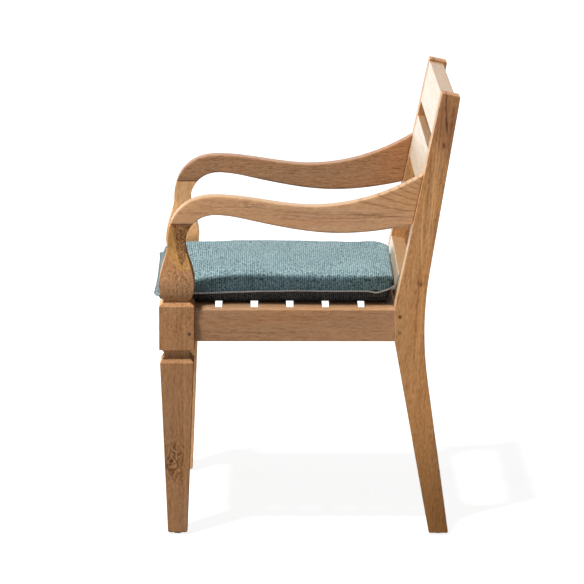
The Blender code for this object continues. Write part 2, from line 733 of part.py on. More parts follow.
def build_slats(wood, slat_drill):
    """Slats between the side rails; the front one is notched round the leg blocks."""
    length = RAIL_INNER_X - GAP
    notches = bmesh.new()
    for _, side in SIDES:
        across = sorted((side * (LEG_X - BLOCK_HALF - GAP), side * LEG_X))
        add_box(
            notches,
            (across[0], FRONT_LEG_Y - BLOCK_HALF, SLAT_UNDERSIDE - SLAT_THICKNESS),
            (across[1], CLEAT_FRONT, SEAT_HEIGHT + SLAT_THICKNESS),
        )
    notch_cutter = add_object("slat_notches", notches)
    middle_z = SEAT_HEIGHT - SLAT_THICKNESS / 2
    for number, y in enumerate(slat_middles(), start=1):
        shape = timber("X", (y, middle_z), (SLAT_WIDTH, SLAT_THICKNESS), -length, length)
        slat = add_object(f"seat_slat_{number}", shape, wood)
        if y - SLAT_WIDTH / 2 < CLEAT_FRONT:
            combine(slat, notch_cutter, "DIFFERENCE")
        combine(slat, slat_drill, "DIFFERENCE")


def build_cleats(wood, steel, slat_drill, cleat_drill):
    middle_z = (CLEAT_LOW + CLEAT_HIGH) / 2
    section = (CLEAT_WIDTH, CLEAT_HEIGHT)
    for name, side in SIDES:
        shape = timber("Y", (side * CLEAT_X, middle_z), section, CLEAT_FRONT, CLEAT_REAR)
        cleat = add_object(f"slat_cleat_{name}", shape, wood)
        combine(cleat, slat_drill, "DIFFERENCE")
        combine(cleat, cleat_drill, "DIFFERENCE")
    build_screws("slat_screw", add_slat_screw, slat_middles(), steel)
    build_screws("cleat_screw", add_cleat_screw, cleat_screw_places(), steel)


def build_glides(nylon):
    for end, y in (("front", FRONT_LEG_Y), ("rear", rear_foot_y())):
        for name, side in SIDES:
            add_object(f"glide_{end}_{name}", glide_shape(side * LEG_X, y), nylon)


def cushion_box():
    """Half width, half depth and middle y of the cushion's side walls at the seam."""
    half_width = LEG_X - BLOCK_HALF - CUSHION_SIDE_CLEARANCE - FLANGE_WIDTH
    front = FRONT_LEG_Y - BLOCK_HALF - CUSHION_OVERHANG + FLANGE_WIDTH
    board_face = stile_front(SEAT_HEIGHT + SEAM_HEIGHT)
    rear = board_face - CUSHION_BACK_CLEARANCE - FLANGE_WIDTH
    return half_width, (rear - front) / 2, (rear + front) / 2


def cushion_ring(inset, height):
    """Ring round the cushion, inset from its side walls, with the sides drawn in."""
    half_width, half_depth, _ = cushion_box()
    width = half_width - inset
    depth = half_depth - inset
    corner = max(CUSHION_CORNER - inset, COVER_THICKNESS)
    ring = []
    for quadrant, (side_x, side_y) in enumerate(((1, 1), (-1, 1), (-1, -1), (1, -1))):
        for step in range(CUSHION_CORNER_STEPS + 1):
            angle = (quadrant + step / CUSHION_CORNER_STEPS) * math.pi / 2
            ring.append((
                side_x * (width - corner) + corner * math.cos(angle),
                side_y * (depth - corner) + corner * math.sin(angle),
            ))
        run = 2 * ((width if side_x == side_y else depth) - corner)
        turned = (quadrant + 1) * math.pi / 2
        last = ring[-1]
        for step in range(1, CUSHION_SIDE_STEPS):
            along = run * step / CUSHION_SIDE_STEPS
            ring.append((last[0] - math.sin(turned) * along, last[1] + math.cos(turned) * along))
    drop = CUSHION_CORNER_DROP * max(0, height - SEAM_HEIGHT) / CUSHION_SIDE_HEIGHT
    drop *= (width / half_width) ** 2
    drawn = []
    for x, y in ring:
        pull_x = CUSHION_DRAW_IN * (1 - (y / depth) ** 2) * (x / width) ** 3
        pull_y = CUSHION_DRAW_IN * (1 - (x / width) ** 2) * (y / depth) ** 3
        cornered = min(abs(x) / width, abs(y) / depth) ** 2
        drawn.append(Vector((x - pull_x, y - pull_y, height - drop * cornered)))
    return drawn


def build_cushion(fabric, base_fabric, edging, foam):
    """Foam core in an upper and a lower cover, sewn together over a flat flange."""
    half_width, half_depth, middle_y = cushion_box()
    base = SEAT_HEIGHT + GAP
    lift = bpy.data.objects.new("cushion_lift", None)
    lift.location = (0, middle_y, base)
    bpy.context.scene.collection.objects.link(lift)
    reach = min(half_width, half_depth)
    seam_low = SEAM_HEIGHT - FLANGE_THICKNESS / 2
    seam_high = SEAM_HEIGHT + FLANGE_THICKNESS / 2
    top_edge = SEAM_HEIGHT + CUSHION_SIDE_HEIGHT
    top_cut = CUSHION_TOP_ROUND * QUARTER_CUT
    base_cut = CUSHION_BASE_ROUND * QUARTER_CUT
    upper = [
        (0.0, seam_high + GAP),
        (-COVER_THICKNESS / 2, top_edge - CUSHION_SIDE_HEIGHT / 2),
        (top_cut, top_edge - top_cut),
        (CUSHION_TOP_ROUND, top_edge),
    ]
    for share in CROWN_RINGS:
        rise = CUSHION_CROWN * math.sin(share * math.pi / 2)
        upper.append((reach * share, top_edge + rise))
    lower = [
        (0.0, seam_low - GAP),
        (0.0, SEAM_HEIGHT / 2),
        (base_cut, base_cut),
        (CUSHION_BASE_ROUND, 0.0),
        (reach * CROWN_RINGS[-1], 0.0),
    ]

    def cover(outside, upward):
        """Open shell: the outside rings, then the same rings one cover thickness further in."""
        inside = []
        for inset, height in outside:
            inside.append((inset + COVER_THICKNESS, height - upward * COVER_THICKNESS))
        inside[0] = (COVER_THICKNESS, outside[0][1])
        rings = [cushion_ring(*level) for level in reversed(outside)]
        rings += [cushion_ring(*level) for level in inside]
        return loft(rings, split=True)

    add_object("cushion_top_cover", cover(upper, 1), fabric, lift)
    add_object("cushion_base_cover", cover(lower, -1), base_fabric, lift)
    band = bmesh.new()
    levels = [
        (FLANGE_LAP, seam_low),
        (0.0, seam_low),
        (-FLANGE_WIDTH, SEAM_HEIGHT - FLANGE_THICKNESS / 4),
        (-FLANGE_WIDTH, SEAM_HEIGHT + FLANGE_THICKNESS / 4),
        (0.0, seam_high),
        (FLANGE_LAP, seam_high),
    ]
    loops = [[band.verts.new(point) for point in cushion_ring(*level)] for level in levels]
    for low, high in zip(loops, loops[1:] + loops[:1]):
        add_skin(band, low, high)
    add_object("cushion_flange", band, edging, lift)
    skin = COVER_THICKNESS + GAP
    core = [(inset + skin, height + skin) for inset, height in reversed(lower[1:])]
    core += [(FLANGE_LAP + GAP, seam_low), (FLANGE_LAP + GAP, seam_high)]
    core += [(inset + skin, height - skin) for inset, height in upper[2:]]
    rings = [cushion_ring(*level) for level in core]
    add_object("cushion_foam_core", loft(rings, split=True), foam, lift)


def main():
    clear_scene()
    wood = material("oiled teak", (0.42, 0.25, 0.13), 0.55)
    peg_wood = material("peg wood", (0.26, 0.15, 0.08), 0.6)
    steel = material("stainless steel", (0.6, 0.6, 0.6), 0.35, 1.0)
    nylon = material("nylon", (0.05, 0.045, 0.04), 0.6)
    fabric = material("woven upper cover", (0.10, 0.21, 0.24), 0.95)
    base_fabric = material("dark lower cover", (0.02, 0.022, 0.025), 0.95)
    edging = material("overlocked flange", (0.35, 0.38, 0.39), 0.9)
    foam = material("foam", (0.75, 0.72, 0.62), 0.95)
    drills = {name: [] for name, _ in SIDES}
    slat_drill = screw_drill("slat_drill", add_slat_screw, slat_middles())
    cleat_drill = screw_drill("cleat_drill", add_cleat_screw, cleat_screw_places())
    build_front_legs(wood, peg_wood, drills)
    build_rear_legs(wood, peg_wood, drills)
    build_arms(wood)
    build_rails(wood, drills, cleat_drill)
    build_back_boards(wood)
    build_slats(wood, slat_drill)
    build_cleats(wood, steel, slat_drill, cleat_drill)
    build_glides(nylon)
    build_cushion(fabric, base_fabric, edging, foam)


main()
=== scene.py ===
"""Looks of the teak armchair: wood, woven cushion, floor, light and camera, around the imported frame."""

import json
import math

import bmesh
import bpy
import numpy as np
from mathutils import Matrix, Vector
from mathutils import noise

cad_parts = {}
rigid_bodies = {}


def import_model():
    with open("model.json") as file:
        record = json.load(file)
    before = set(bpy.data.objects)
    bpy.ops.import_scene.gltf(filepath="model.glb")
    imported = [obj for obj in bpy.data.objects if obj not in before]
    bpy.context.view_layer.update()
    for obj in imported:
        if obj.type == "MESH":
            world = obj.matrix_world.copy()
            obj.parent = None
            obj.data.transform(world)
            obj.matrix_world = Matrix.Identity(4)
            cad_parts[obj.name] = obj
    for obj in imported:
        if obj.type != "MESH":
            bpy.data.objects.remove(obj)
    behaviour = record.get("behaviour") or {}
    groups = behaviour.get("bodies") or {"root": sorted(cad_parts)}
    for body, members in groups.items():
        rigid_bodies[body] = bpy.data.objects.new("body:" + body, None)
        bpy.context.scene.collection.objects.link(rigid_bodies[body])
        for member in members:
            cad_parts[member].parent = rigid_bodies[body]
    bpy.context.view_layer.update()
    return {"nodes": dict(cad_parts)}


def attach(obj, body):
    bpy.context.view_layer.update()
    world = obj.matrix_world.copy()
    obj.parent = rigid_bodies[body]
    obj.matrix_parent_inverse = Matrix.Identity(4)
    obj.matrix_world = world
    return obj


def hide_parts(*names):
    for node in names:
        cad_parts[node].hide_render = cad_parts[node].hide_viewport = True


IMAGE_SIDE = 584
SENSOR = 36.0
FOCAL_PIXELS = 3495.13
CAMERA_PLACE = (6.9746, -0.0794, 1.8339)
CAMERA_PITCH = 0.197807
CAMERA_YAW = 0.007907
CAMERA_ROLL = -0.00225

WHITE = (1.0, 1.0, 1.0, 1.0)
COOL_WHITE = (0.88, 0.97, 1.0, 1.0)


class Shader:
    """A material built by short calls. An input is a number, a colour or another node's socket."""

    def __init__(self, name):
        self.material = bpy.data.materials.new(name)
        self.material.use_nodes = True
        self.tree = self.material.node_tree
        self.surface = self.tree.nodes["Principled BSDF"]
        self.coordinates = self.node("ShaderNodeTexCoord")
        self.point = self.coordinates.outputs["Object"]

    def plug(self, socket, value):
        if isinstance(value, bpy.types.NodeSocket):
            self.tree.links.new(value, socket)
        else:
            socket.default_value = value

    def node(self, kind, inputs=None, **settings):
        made = self.tree.nodes.new(kind)
        for name, value in settings.items():
            setattr(made, name, value)
        for name, value in (inputs or {}).items():
            self.plug(made.inputs[name], value)
        return made

    def math(self, operation, *values):
        return self.node("ShaderNodeMath", dict(enumerate(values)), operation=operation).outputs[0]

    def split(self, vector):
        return self.node("ShaderNodeSeparateXYZ", {0: vector}).outputs

    def join(self, x, y, z):
        return self.node("ShaderNodeCombineXYZ", {0: x, 1: y, 2: z}).outputs[0]

    def noise(self, vector, scale=1.0, detail=2.0, roughness=0.5):
        inputs = {"Vector": vector, "Scale": scale, "Detail": detail, "Roughness": roughness}
        return self.node("ShaderNodeTexNoise", inputs).outputs[0]

    def chance(self, value):
        """A random number that is the same wherever the value is the same."""
        inputs = {"W": value}
        return self.node("ShaderNodeTexWhiteNoise", inputs, noise_dimensions="1D").outputs[0]

    def remap(self, value, low, high, to_low=0.0, to_high=1.0):
        inputs = {0: value, 1: low, 2: high, 3: to_low, 4: to_high}
        return self.node("ShaderNodeMapRange", inputs, interpolation_type="SMOOTHSTEP").outputs[0]

    def mix(self, factor, first, second, mode="MIX"):
        made = self.node("ShaderNodeMix", data_type="RGBA", blend_type=mode)
        for place, value in ((0, factor), (6, first), (7, second)):
            self.plug(made.inputs[place], value)
        return made.outputs[2]

    def mix_number(self, factor, first, second):
        return self.node("ShaderNodeMix", {0: factor, 2: first, 3: second}).outputs[0]

    def ramp(self, value, stops):
        made = self.node("ShaderNodeValToRGB", {0: value})
        while len(made.color_ramp.elements) < len(stops):
            made.color_ramp.elements.new(1.0)
        for element, (at, colour) in zip(made.color_ramp.elements, stops):
            element.position = at
            element.color = colour
        return made.outputs[0]

    def bump(self, height, distance, strength):
        inputs = {"Height": height, "Distance": distance, "Strength": strength}
        self.plug(self.surface.inputs["Normal"], self.node("ShaderNodeBump", inputs).outputs[0])

    def finish(self, **values):
        """Set the surface's inputs by name, with _ for a space."""
        for name, value in values.items():
            self.plug(self.surface.inputs[name.replace("_", " ")], value)
        return self.material


def shade(colour, factor):
    """A colour made lighter or darker, channel by channel."""
    return (*(c * f for c, f in zip(colour, factor)), 1.0)


def grain_axes(shader, grain):
    """Coordinates along the fibres and the two ways across them."""
    x, y, z = shader.split(shader.point)
    return {"X": (x, y, z), "Y": (y, x, z), "Z": (z, x, y)}[grain]


def ring_distance(shader, across, pith):
    """Distance from the middle of the tree, given in the two directions across the grain."""
    squares = []
    for place, centre in zip(across, pith):
        offset = shader.math("SUBTRACT", place, centre)
        squares.append(shader.math("MULTIPLY", offset, offset))
    return shader.math("SQRT", shader.math("ADD", *squares))


def reach_from(shader, centre, radii):
    """Distance from a point of the object, 1 at the radii."""
    inputs = {0: shader.point, 1: centre}
    offset = shader.node("ShaderNodeVectorMath", inputs, operation="SUBTRACT").outputs[0]
    inputs = {0: offset, 1: radii}
    share = shader.node("ShaderNodeVectorMath", inputs, operation="DIVIDE").outputs[0]
    return shader.node("ShaderNodeVectorMath", {0: share}, operation="LENGTH").outputs["Value"]


def bell(shader, value):
    """1 where the value is 0, falling to 0 as it passes 1 or -1."""
    return shader.math("EXPONENT", shader.math("MULTIPLY", shader.math("MULTIPLY", value, value), -1.0))


def blob(shader, centre, radii):
    """1 at a point of the object, falling to 0 over the radii."""
    return bell(shader, reach_from(shader, centre, radii))


DEPTH_BELOW = 0.35              # how far below 0 the depth of tone of the palest wood lies
DEPTH_SPAN = 1.35               # from the palest wood to the darkest
WOOD_TONES = (                  # share of that span, and the wood's colour there as a factor
    (0.0, (1.55, 1.62, 1.70)),
    (0.26, (1.26, 1.30, 1.34)),
    (0.48, (1.0, 1.0, 1.0)),
    (0.72, (0.70, 0.64, 0.58)),
    (1.0, (0.34, 0.27, 0.22)),
)


class Teak:
    """Sawn teak: fine streaks, pores and faint growth rings that follow the grain of one piece."""

    def __init__(
        self, name, grain, colour, seed, pith, ring=0.006, rings=0.14, streaks=1.0, dashes=0.16,
        coat=0.30, gloss=0.25,
    ):
        self.shader = Shader(name)
        self.colour = colour
        self.seed = seed
        self.pith = pith
        self.ring = ring
        self.ring_depth = rings
        self.streak_depth = streaks
        self.dash_depth = dashes
        self.coat = coat
        self.gloss = gloss
        self.along, self.first, self.second = grain_axes(self.shader, grain)
        self.across = self.second
        self.lines = []
        self.tones = []

    def lean(self, slope, start, bend):
        """Grain that runs straight through a bent piece: it leans over the length past a start."""
        s = self.shader
        past = s.math("MULTIPLY", s.math("SUBTRACT", self.along, start), slope)
        self.second = s.math("SUBTRACT", self.second, s.math("SMOOTH_MAX", past, 0.0, bend))
        return self

    def mark(self, centre, radii, darkness):
        """A knot or streak, darker than the wood round it, or lighter where darkness is negative."""
        s = self.shader
        self.lines.append(s.math("MULTIPLY", blob(s, centre, radii), darkness))
        return self

    def tone(self, centre, radii, colour, strength=1.0):
        """A place where the wood has another hue, or where shade is painted on it."""
        s = self.shader
        self.tones.append((s.math("MULTIPLY", blob(s, centre, radii), strength), colour))
        return self

    def crown(self, colour):
        """Painted light and shade: another hue on the faces that look up."""
        facing = self.shader.split(self.shader.coordinates.outputs["Normal"])
        painted_top_light_share = self.shader.remap(facing[2], 0.55, 0.85)
        self.tones.append((painted_top_light_share, colour))
        return self

    def painted_front_light(self, colour):
        """Painted light: a paler hue on the faces that look to the front."""
        facing = self.shader.split(self.shader.coordinates.outputs["Normal"])
        forward = self.shader.remap(facing[1], -0.45, -0.75)
        self.tones.append((forward, colour))
        return self

    def vee(self, tip, spread, power):
        """Half width of a V that opens upwards from its tip, less the distance from its middle line."""
        s = self.shader
        _, y, z = s.split(s.point)
        wander = s.math("MULTIPLY", s.math("SUBTRACT", s.noise(s.point, 130, 3.0, 0.6), 0.5), 0.008)
        aside = s.math("ABSOLUTE", s.math("ADD", s.math("SUBTRACT", y, tip[0]), wander))
        above = s.math("MAXIMUM", s.math("SUBTRACT", z, tip[1]), 0.0)
        return s.math("SUBTRACT", s.math("MULTIPLY", s.math("POWER", above, power), spread), aside)

    def heart(self, dark_tip, pale_tip, dark, pale):
        """Dark heartwood cut open as a V with curling lines in it, and a pale band about it."""
        s = self.shader
        inside = self.vee(dark_tip, 0.0993, 0.65)
        about = self.vee(pale_tip, 0.2554, 0.60)
        middle = s.remap(inside, -0.0016, 0.0016)
        edge = s.remap(about, -0.0010, 0.0010)
        rim = s.math("MULTIPLY", bell(s, s.math("DIVIDE", about, 0.0012)), -0.18)
        curl = s.math("MULTIPLY_ADD", s.math("SUBTRACT", s.noise(s.point, 60, 2.0), 0.5), 0.040, inside)
        wave = s.math("SINE", s.math("MULTIPLY", curl, 2 * math.pi / 0.0066))
        self.lines.append(s.math("MULTIPLY", s.math("MULTIPLY", wave, middle), 0.42))
        self.lines.append(rim)
        self.tones.append((edge, pale))
        self.tones.append((middle, dark))
        return self

    def curls(self, centre, radii, scale, count, darkness):
        """Fine closed lines, like the heights on a map, where the grain turns on itself."""
        s = self.shader
        hills = s.noise(s.point, scale, 1.5, 0.5)
        part = s.math("FRACT", s.math("MULTIPLY", hills, count))
        line = bell(s, s.math("MULTIPLY", s.math("SUBTRACT", part, 0.5), 4.0))
        line = s.math("SUBTRACT", line, 0.4)
        self.lines.append(s.math("MULTIPLY", s.math("MULTIPLY", line, blob(s, centre, radii)), darkness))
        return self

    def swirl(self, centre, radii, turns, darkness):
        """Nested uneven ovals round a hidden branch."""
        s = self.shader
        reach = reach_from(s, centre, radii)
        uneven = s.math("SUBTRACT", s.noise(s.point, 70, 2.5, 0.55), 0.5)
        turned = s.math("MULTIPLY", s.math("MULTIPLY_ADD", uneven, 1.5, reach), turns * 2 * math.pi)
        wave = s.math("MULTIPLY_ADD", s.math("COSINE", turned), 0.7, 0.3)
        self.lines.append(s.math("MULTIPLY", s.math("MULTIPLY", wave, bell(s, reach)), darkness))
        return self

    def mottle(self, centre, radii, darkness):
        """Short crossed grain in one place."""
        s = self.shader
        cloud = s.math("SUBTRACT", s.noise(self.stretched(170, 300, 2.2), 1.0, 3.0, 0.6), 0.5)
        self.lines.append(s.math("MULTIPLY", s.math("MULTIPLY", cloud, blob(s, centre, radii)), darkness))
        return self

    def arcs(self, start, spacing, thickness, darkness):
        """Growth lines that sweep up towards the front and spread, as where a plank passes a branch."""
        s = self.shader
        _, y, z = s.split(s.point)
        ahead = s.math("MAXIMUM", s.math("SUBTRACT", start[1], y), 0.0)
        square = s.math("MULTIPLY", ahead, ahead)
        rise = s.math("MULTIPLY_ADD", square, -0.6, s.math("SUBTRACT", z, start[2]))
        field = s.math("DIVIDE", rise, s.math("MULTIPLY_ADD", square, 75.0, 1.0))
        wobble = s.math("SUBTRACT", s.noise(s.point, 60, 2.0), 0.5)
        part = s.math("FRACT", s.math("MULTIPLY_ADD", wobble, 0.3, s.math("DIVIDE", field, spacing)))
        line = bell(s, s.math("MULTIPLY", s.math("SUBTRACT", part, 0.5), spacing / thickness))
        inside = s.math("MULTIPLY", s.remap(field, -0.007, -0.005), s.remap(ahead, 0.15, 0.19, 1.0, 0.0))
        self.lines.append(s.math("MULTIPLY", line, s.math("MULTIPLY", inside, darkness)))
        return self

    def trace(self, middle, place, slope, curve, reach, width, darkness):
        """A thin line along the grain; its place across changes with the distance from its middle."""
        s = self.shader
        past = s.math("SUBTRACT", self.along, middle)
        turn = s.math("MULTIPLY", past, s.math("MULTIPLY_ADD", past, curve, slope))
        aside = s.math("SUBTRACT", s.math("SUBTRACT", self.across, place), turn)
        wobble = s.math("SUBTRACT", s.noise(self.stretched(30, 8, 15.1), 1.0, 2.0), 0.5)
        aside = s.math("MULTIPLY_ADD", wobble, 0.0016, aside)
        line = bell(s, s.math("DIVIDE", aside, width))
        window = s.remap(s.math("ABSOLUTE", past), 0.7 * reach, reach, 1.0, 0.0)
        self.lines.append(s.math("MULTIPLY", s.math("MULTIPLY", line, window), darkness))
        return self

    def stretched(self, along, across, shift):
        """A noise point that is long along the grain."""
        s = self.shader
        return s.join(
            s.math("MULTIPLY_ADD", self.along, along, shift + self.seed),
            s.math("MULTIPLY", self.first, across),
            s.math("MULTIPLY", self.second, across),
        )

    def late_wood(self):
        """Darker late wood of each growth ring; some rings are faint."""
        s = self.shader
        field = ring_distance(s, (self.first, self.second), self.pith)
        slow = s.math("SUBTRACT", s.noise(self.stretched(3.5, 16, 3.1), 1.0, 2.0), 0.5)
        quick = s.math("SUBTRACT", s.noise(self.stretched(22, 120, 7.7), 1.0, 2.0), 0.5)
        field = s.math("MULTIPLY_ADD", slow, 0.016, field)
        field = s.math("MULTIPLY_ADD", quick, 0.0045, field)
        phase = s.math("DIVIDE", field, self.ring)
        part = s.math("FRACT", phase)
        chance = s.chance(s.math("FLOOR", s.math("ADD", phase, self.seed)))
        late = s.math("SUBTRACT", s.remap(part, 0.2, 0.8), s.remap(part, 0.8, 1.0))
        return s.math("MULTIPLY", late, s.math("MULTIPLY", chance, chance))

    def make(self):
        s = self.shader
        fine = s.noise(self.stretched(100, 320, 1.3), 1.0, 2.0, 0.65)
        medium = s.noise(self.stretched(26, 260, 4.6), 1.0, 2.0, 0.6)
        strokes = s.remap(medium, 0.55, 0.64)
        broad = s.noise(self.stretched(2.6, 40, 5.9), 1.0, 2.0, 0.55)
        pores = s.remap(s.noise(self.stretched(75, 1500, 9.2), 1.0, 1.0), 0.56, 0.70)
        depth = s.math("MULTIPLY_ADD", self.late_wood(), self.ring_depth, 0.22)
        for share, field in ((0.35, medium), (0.95, fine), (0.45, broad)):
            depth = s.math("MULTIPLY_ADD", s.math("SUBTRACT", field, 0.5), share * self.streak_depth, depth)
        depth = s.math("MULTIPLY_ADD", pores, 0.16, depth)
        depth = s.math("MULTIPLY_ADD", strokes, 0.09 * self.streak_depth, depth)
        dashes = s.remap(s.noise(self.stretched(44, 400, 6.5), 1.0, 2.0, 0.55), 0.54, 0.70)
        depth = s.math("MULTIPLY_ADD", dashes, self.dash_depth, depth)
        for line in self.lines:
            depth = s.math("ADD", depth, line)
        place = s.math("MULTIPLY_ADD", depth, 1 / DEPTH_SPAN, DEPTH_BELOW / DEPTH_SPAN)
        colour = s.ramp(place, [(at, shade(self.colour, factor)) for at, factor in WOOD_TONES])
        hue = s.remap(s.noise(self.stretched(4, 26, 12.4), 1.0, 2.0), 0.35, 0.68)
        colour = s.mix(hue, colour, shade((1, 1, 1), (1.05, 0.98, 0.88)), "MULTIPLY")
        for factor, tone in self.tones:
            colour = s.mix(factor, colour, (*tone, 1.0), "MULTIPLY")
        roughness = s.remap(depth, 0.0, 0.8, 0.42, 0.60)
        height = s.math("MULTIPLY_ADD", medium, 0.5, s.math("MULTIPLY", pores, -0.8))
        s.bump(height, 0.0004, 0.35)
        return s.finish(
            Base_Color=colour, Roughness=roughness, Specular_IOR_Level=self.gloss,
            Coat_Weight=self.coat, Coat_Roughness=0.22,
        )


WELD_DISTANCE = 1e-5
SHARP_ANGLE = math.radians(36)


def soft_shading():
    """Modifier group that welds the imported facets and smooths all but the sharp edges."""
    group = bpy.data.node_groups.new("smooth facets", "GeometryNodeTree")
    for way in ("INPUT", "OUTPUT"):
        group.interface.new_socket("Geometry", in_out=way, socket_type="NodeSocketGeometry")
    nodes = group.nodes
    start = nodes.new("NodeGroupInput")
    weld = nodes.new("GeometryNodeMergeByDistance")
    weld.inputs["Distance"].default_value = WELD_DISTANCE
    plain = nodes.new("GeometryNodeRemoveAttribute")
    plain.inputs["Name"].default_value = "custom_normal"
    faces = nodes.new("GeometryNodeSetShadeSmooth")
    faces.domain = "FACE"
    angle = nodes.new("GeometryNodeInputMeshEdgeAngle")
    flat = nodes.new("FunctionNodeCompare")
    flat.data_type = "FLOAT"
    flat.operation = "LESS_THAN"
    flat.inputs["B"].default_value = SHARP_ANGLE
    edges = nodes.new("GeometryNodeSetShadeSmooth")
    edges.domain = "EDGE"
    end = nodes.new("NodeGroupOutput")
    group.links.new(start.outputs[0], weld.inputs["Geometry"])
    group.links.new(weld.outputs[0], plain.inputs["Geometry"])
    group.links.new(plain.outputs[0], faces.inputs["Geometry"])
    group.links.new(faces.outputs[0], edges.inputs["Geometry"])
    group.links.new(angle.outputs["Unsigned Angle"], flat.inputs["A"])
    group.links.new(flat.outputs[0], edges.inputs["Shade Smooth"])
    group.links.new(edges.outputs[0], end.inputs[0])
    return group


def dress(item, finish, group):
    """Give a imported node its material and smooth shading; its mesh stays as it is."""
    item.material_slots[0].link = "OBJECT"
    item.material_slots[0].material = finish
    smooth = item.modifiers.new("smooth facets", "NODES")
    smooth.node_group = group
    weighted = item.modifiers.new("flat faces stay flat", "WEIGHTED_NORMAL")
    weighted.keep_sharp = True
    weighted.weight = 100


LEG_AXIS = (0.2555, -0.2520)    # near front leg
OUTER_FACE = 0.275              # about the outer side of the near arm and legs
ARM_WOOD = (0.530, 0.292, 0.144)
FAR_ARM_WOOD = (0.345, 0.166, 0.073)
LEG_WOOD = (0.398, 0.210, 0.105)
# Painted light: the far front leg's wood is made much paler than the near leg's, for the light on its inner
# side.
FAR_LEG_PAINTED_LIGHT_WOOD = (0.720, 0.395, 0.182)
STILE_WOOD = (0.485, 0.237, 0.090)
RAIL_WOOD = (0.362, 0.186, 0.089)
BOARD_WOOD = (0.500, 0.300, 0.155)
SLAT_WOOD = (0.430, 0.255, 0.140)
# Painted shade: the slats are darkened where they lie under the cushion.
SLAT_PAINTED_SHADE = (0.22, 0.20, 0.18)
SLAT_PAINTED_SHADE_REACH = (0.1267, 9.0, 9.0)   # half the width under the cushion, and all of the other two ways
SLAT_PAINTED_SHADE_STRENGTH = 8.0
DARK_PEG_WOOD = (0.165, 0.078, 0.036)
PALE_PEG_WOOD = (0.330, 0.168, 0.078)
DARK_PEGS = ("peg_front_left_low", "peg_front_right_low", "peg_rear_left_high", "peg_rear_right_high")


def near_front_leg():
    """Mottled block, a swirl low on the leg, and dark heartwood cut open by the slender neck."""
    x, y = LEG_AXIS
    wood = Teak(
        "front_leg_left", "Z", LEG_WOOD, 8.0, (0.40, -0.36),
        ring=0.0052, streaks=0.8, coat=0.0, gloss=0.0,
    )
    # Painted light: the faces that look to the front are made much paler.
    wood.painted_front_light((1.90, 2.20, 2.70))
    wood.mottle((x, y, 0.425), (0.1, 0.1, 0.06), 1.0)
    wood.mottle((x, y, 0.510), (0.1, 0.1, 0.03), 0.9)
    wood.swirl((OUTER_FACE, -0.262, 0.149), (0.08, 0.022, 0.044), 2.4, 0.58)
    wood.swirl((OUTER_FACE, -0.246, 0.156), (0.08, 0.013, 0.026), 1.8, 0.40)
    wood.mark((OUTER_FACE, -0.265, 0.147), (0.08, 0.005, 0.012), 0.50)
    wood.mark((OUTER_FACE, -0.235, 0.5185), (0.08, 0.003, 0.004), 0.30)
    wood.swirl((OUTER_FACE, -0.237, 0.5150), (0.08, 0.012, 0.020), 2.0, 0.20)
    wood.swirl((OUTER_FACE, -0.264, 0.5200), (0.08, 0.014, 0.024), 2.4, 0.18)
    wood.tone((x, y, 0.0), (0.1, 0.1, 0.16), (0.95, 0.94, 0.92))
    wood.tone((x, y, 0.500), (0.1, 0.1, 0.035), (1.12, 1.18, 1.26))
    wood.heart((-0.2415, 0.5446), (-0.2365, 0.5330), (0.58, 0.54, 0.62), (1.16, 1.17, 0.86))
    wood.mottle((x, y, 0.560), (0.1, 0.1, 0.05), 0.8)
    wood.curls((x, y, 0.500), (0.1, 0.1, 0.050), 40, 10, -0.40)
    wood.curls((x, y, 0.425), (0.1, 0.1, 0.05), 60, 7, -0.22)
    return wood


def rear_leg(name, colour, seed):
    """One wide plank with a few knots: its grain runs straight through the bend, to a darker foot."""
    side = 1 if name.endswith("left") else -1
    face = OUTER_FACE * side
    wood = Teak(
        name, "Z", colour, seed, (0.36 * side, 0.05),
        ring=0.0058, rings=0.18, streaks=1.25, coat=0.05,
    )
    # Painted light: the faces that look to the front are made much paler.
    wood.painted_front_light((1.50, 2.05, 3.20))
    wood.lean(0.14, 0.22, 0.02)
    for (y, z), (wide, tall), darkness in (
        ((0.2266, 0.5072), (0.0065, 0.0050), 0.60),
        ((0.2677, 0.7810), (0.0036, 0.0062), 0.95),
        ((0.2730, 0.8220), (0.0026, 0.0110), 0.50),
        ((0.2499, 0.1899), (0.0022, 0.0032), 0.40),
        ((0.2640, 0.8300), (0.0030, 0.0500), 0.10),
    ):
        wood.mark((face, y, z), (0.05, wide, tall), darkness)
    for middle, place, slope, curve, reach, width, darkness in (
        (0.686, 0.2473, 0.082, -0.046, 0.130, 0.0014, -0.50),
        (0.700, 0.2530, 0.090, 0.050, 0.080, 0.0011, -0.34),
        (0.618, 0.2263, 0.038, 0.542, 0.080, 0.0016, -0.36),
        (0.671, 0.2359, 0.085, 0.201, 0.100, 0.0016, 0.34),
        (0.660, 0.2560, 0.110, 0.100, 0.090, 0.0016, 0.24),
        (0.845, 0.2715, -0.031, 0.527, 0.050, 0.0018, 0.55),
        (0.820, 0.2610, 0.080, 0.000, 0.055, 0.0016, 0.30),
        (0.800, 0.2800, 0.120, 0.000, 0.060, 0.0014, 0.28),
        (0.450, 0.2180, 0.060, 0.000, 0.120, 0.0016, 0.26),
        (0.430, 0.2260, 0.060, 0.000, 0.100, 0.0014, -0.30),
    ):
        wood.trace(middle, place, slope, curve, reach, width, darkness)
    wood.tone((face, 0.27, 0.02), (0.1, 0.2, 0.20), (0.42, 0.36, 0.20))
    wood.tone((face, 0.283, 0.825), (0.1, 0.05, 0.075), (0.68, 0.60, 0.62))
    return wood


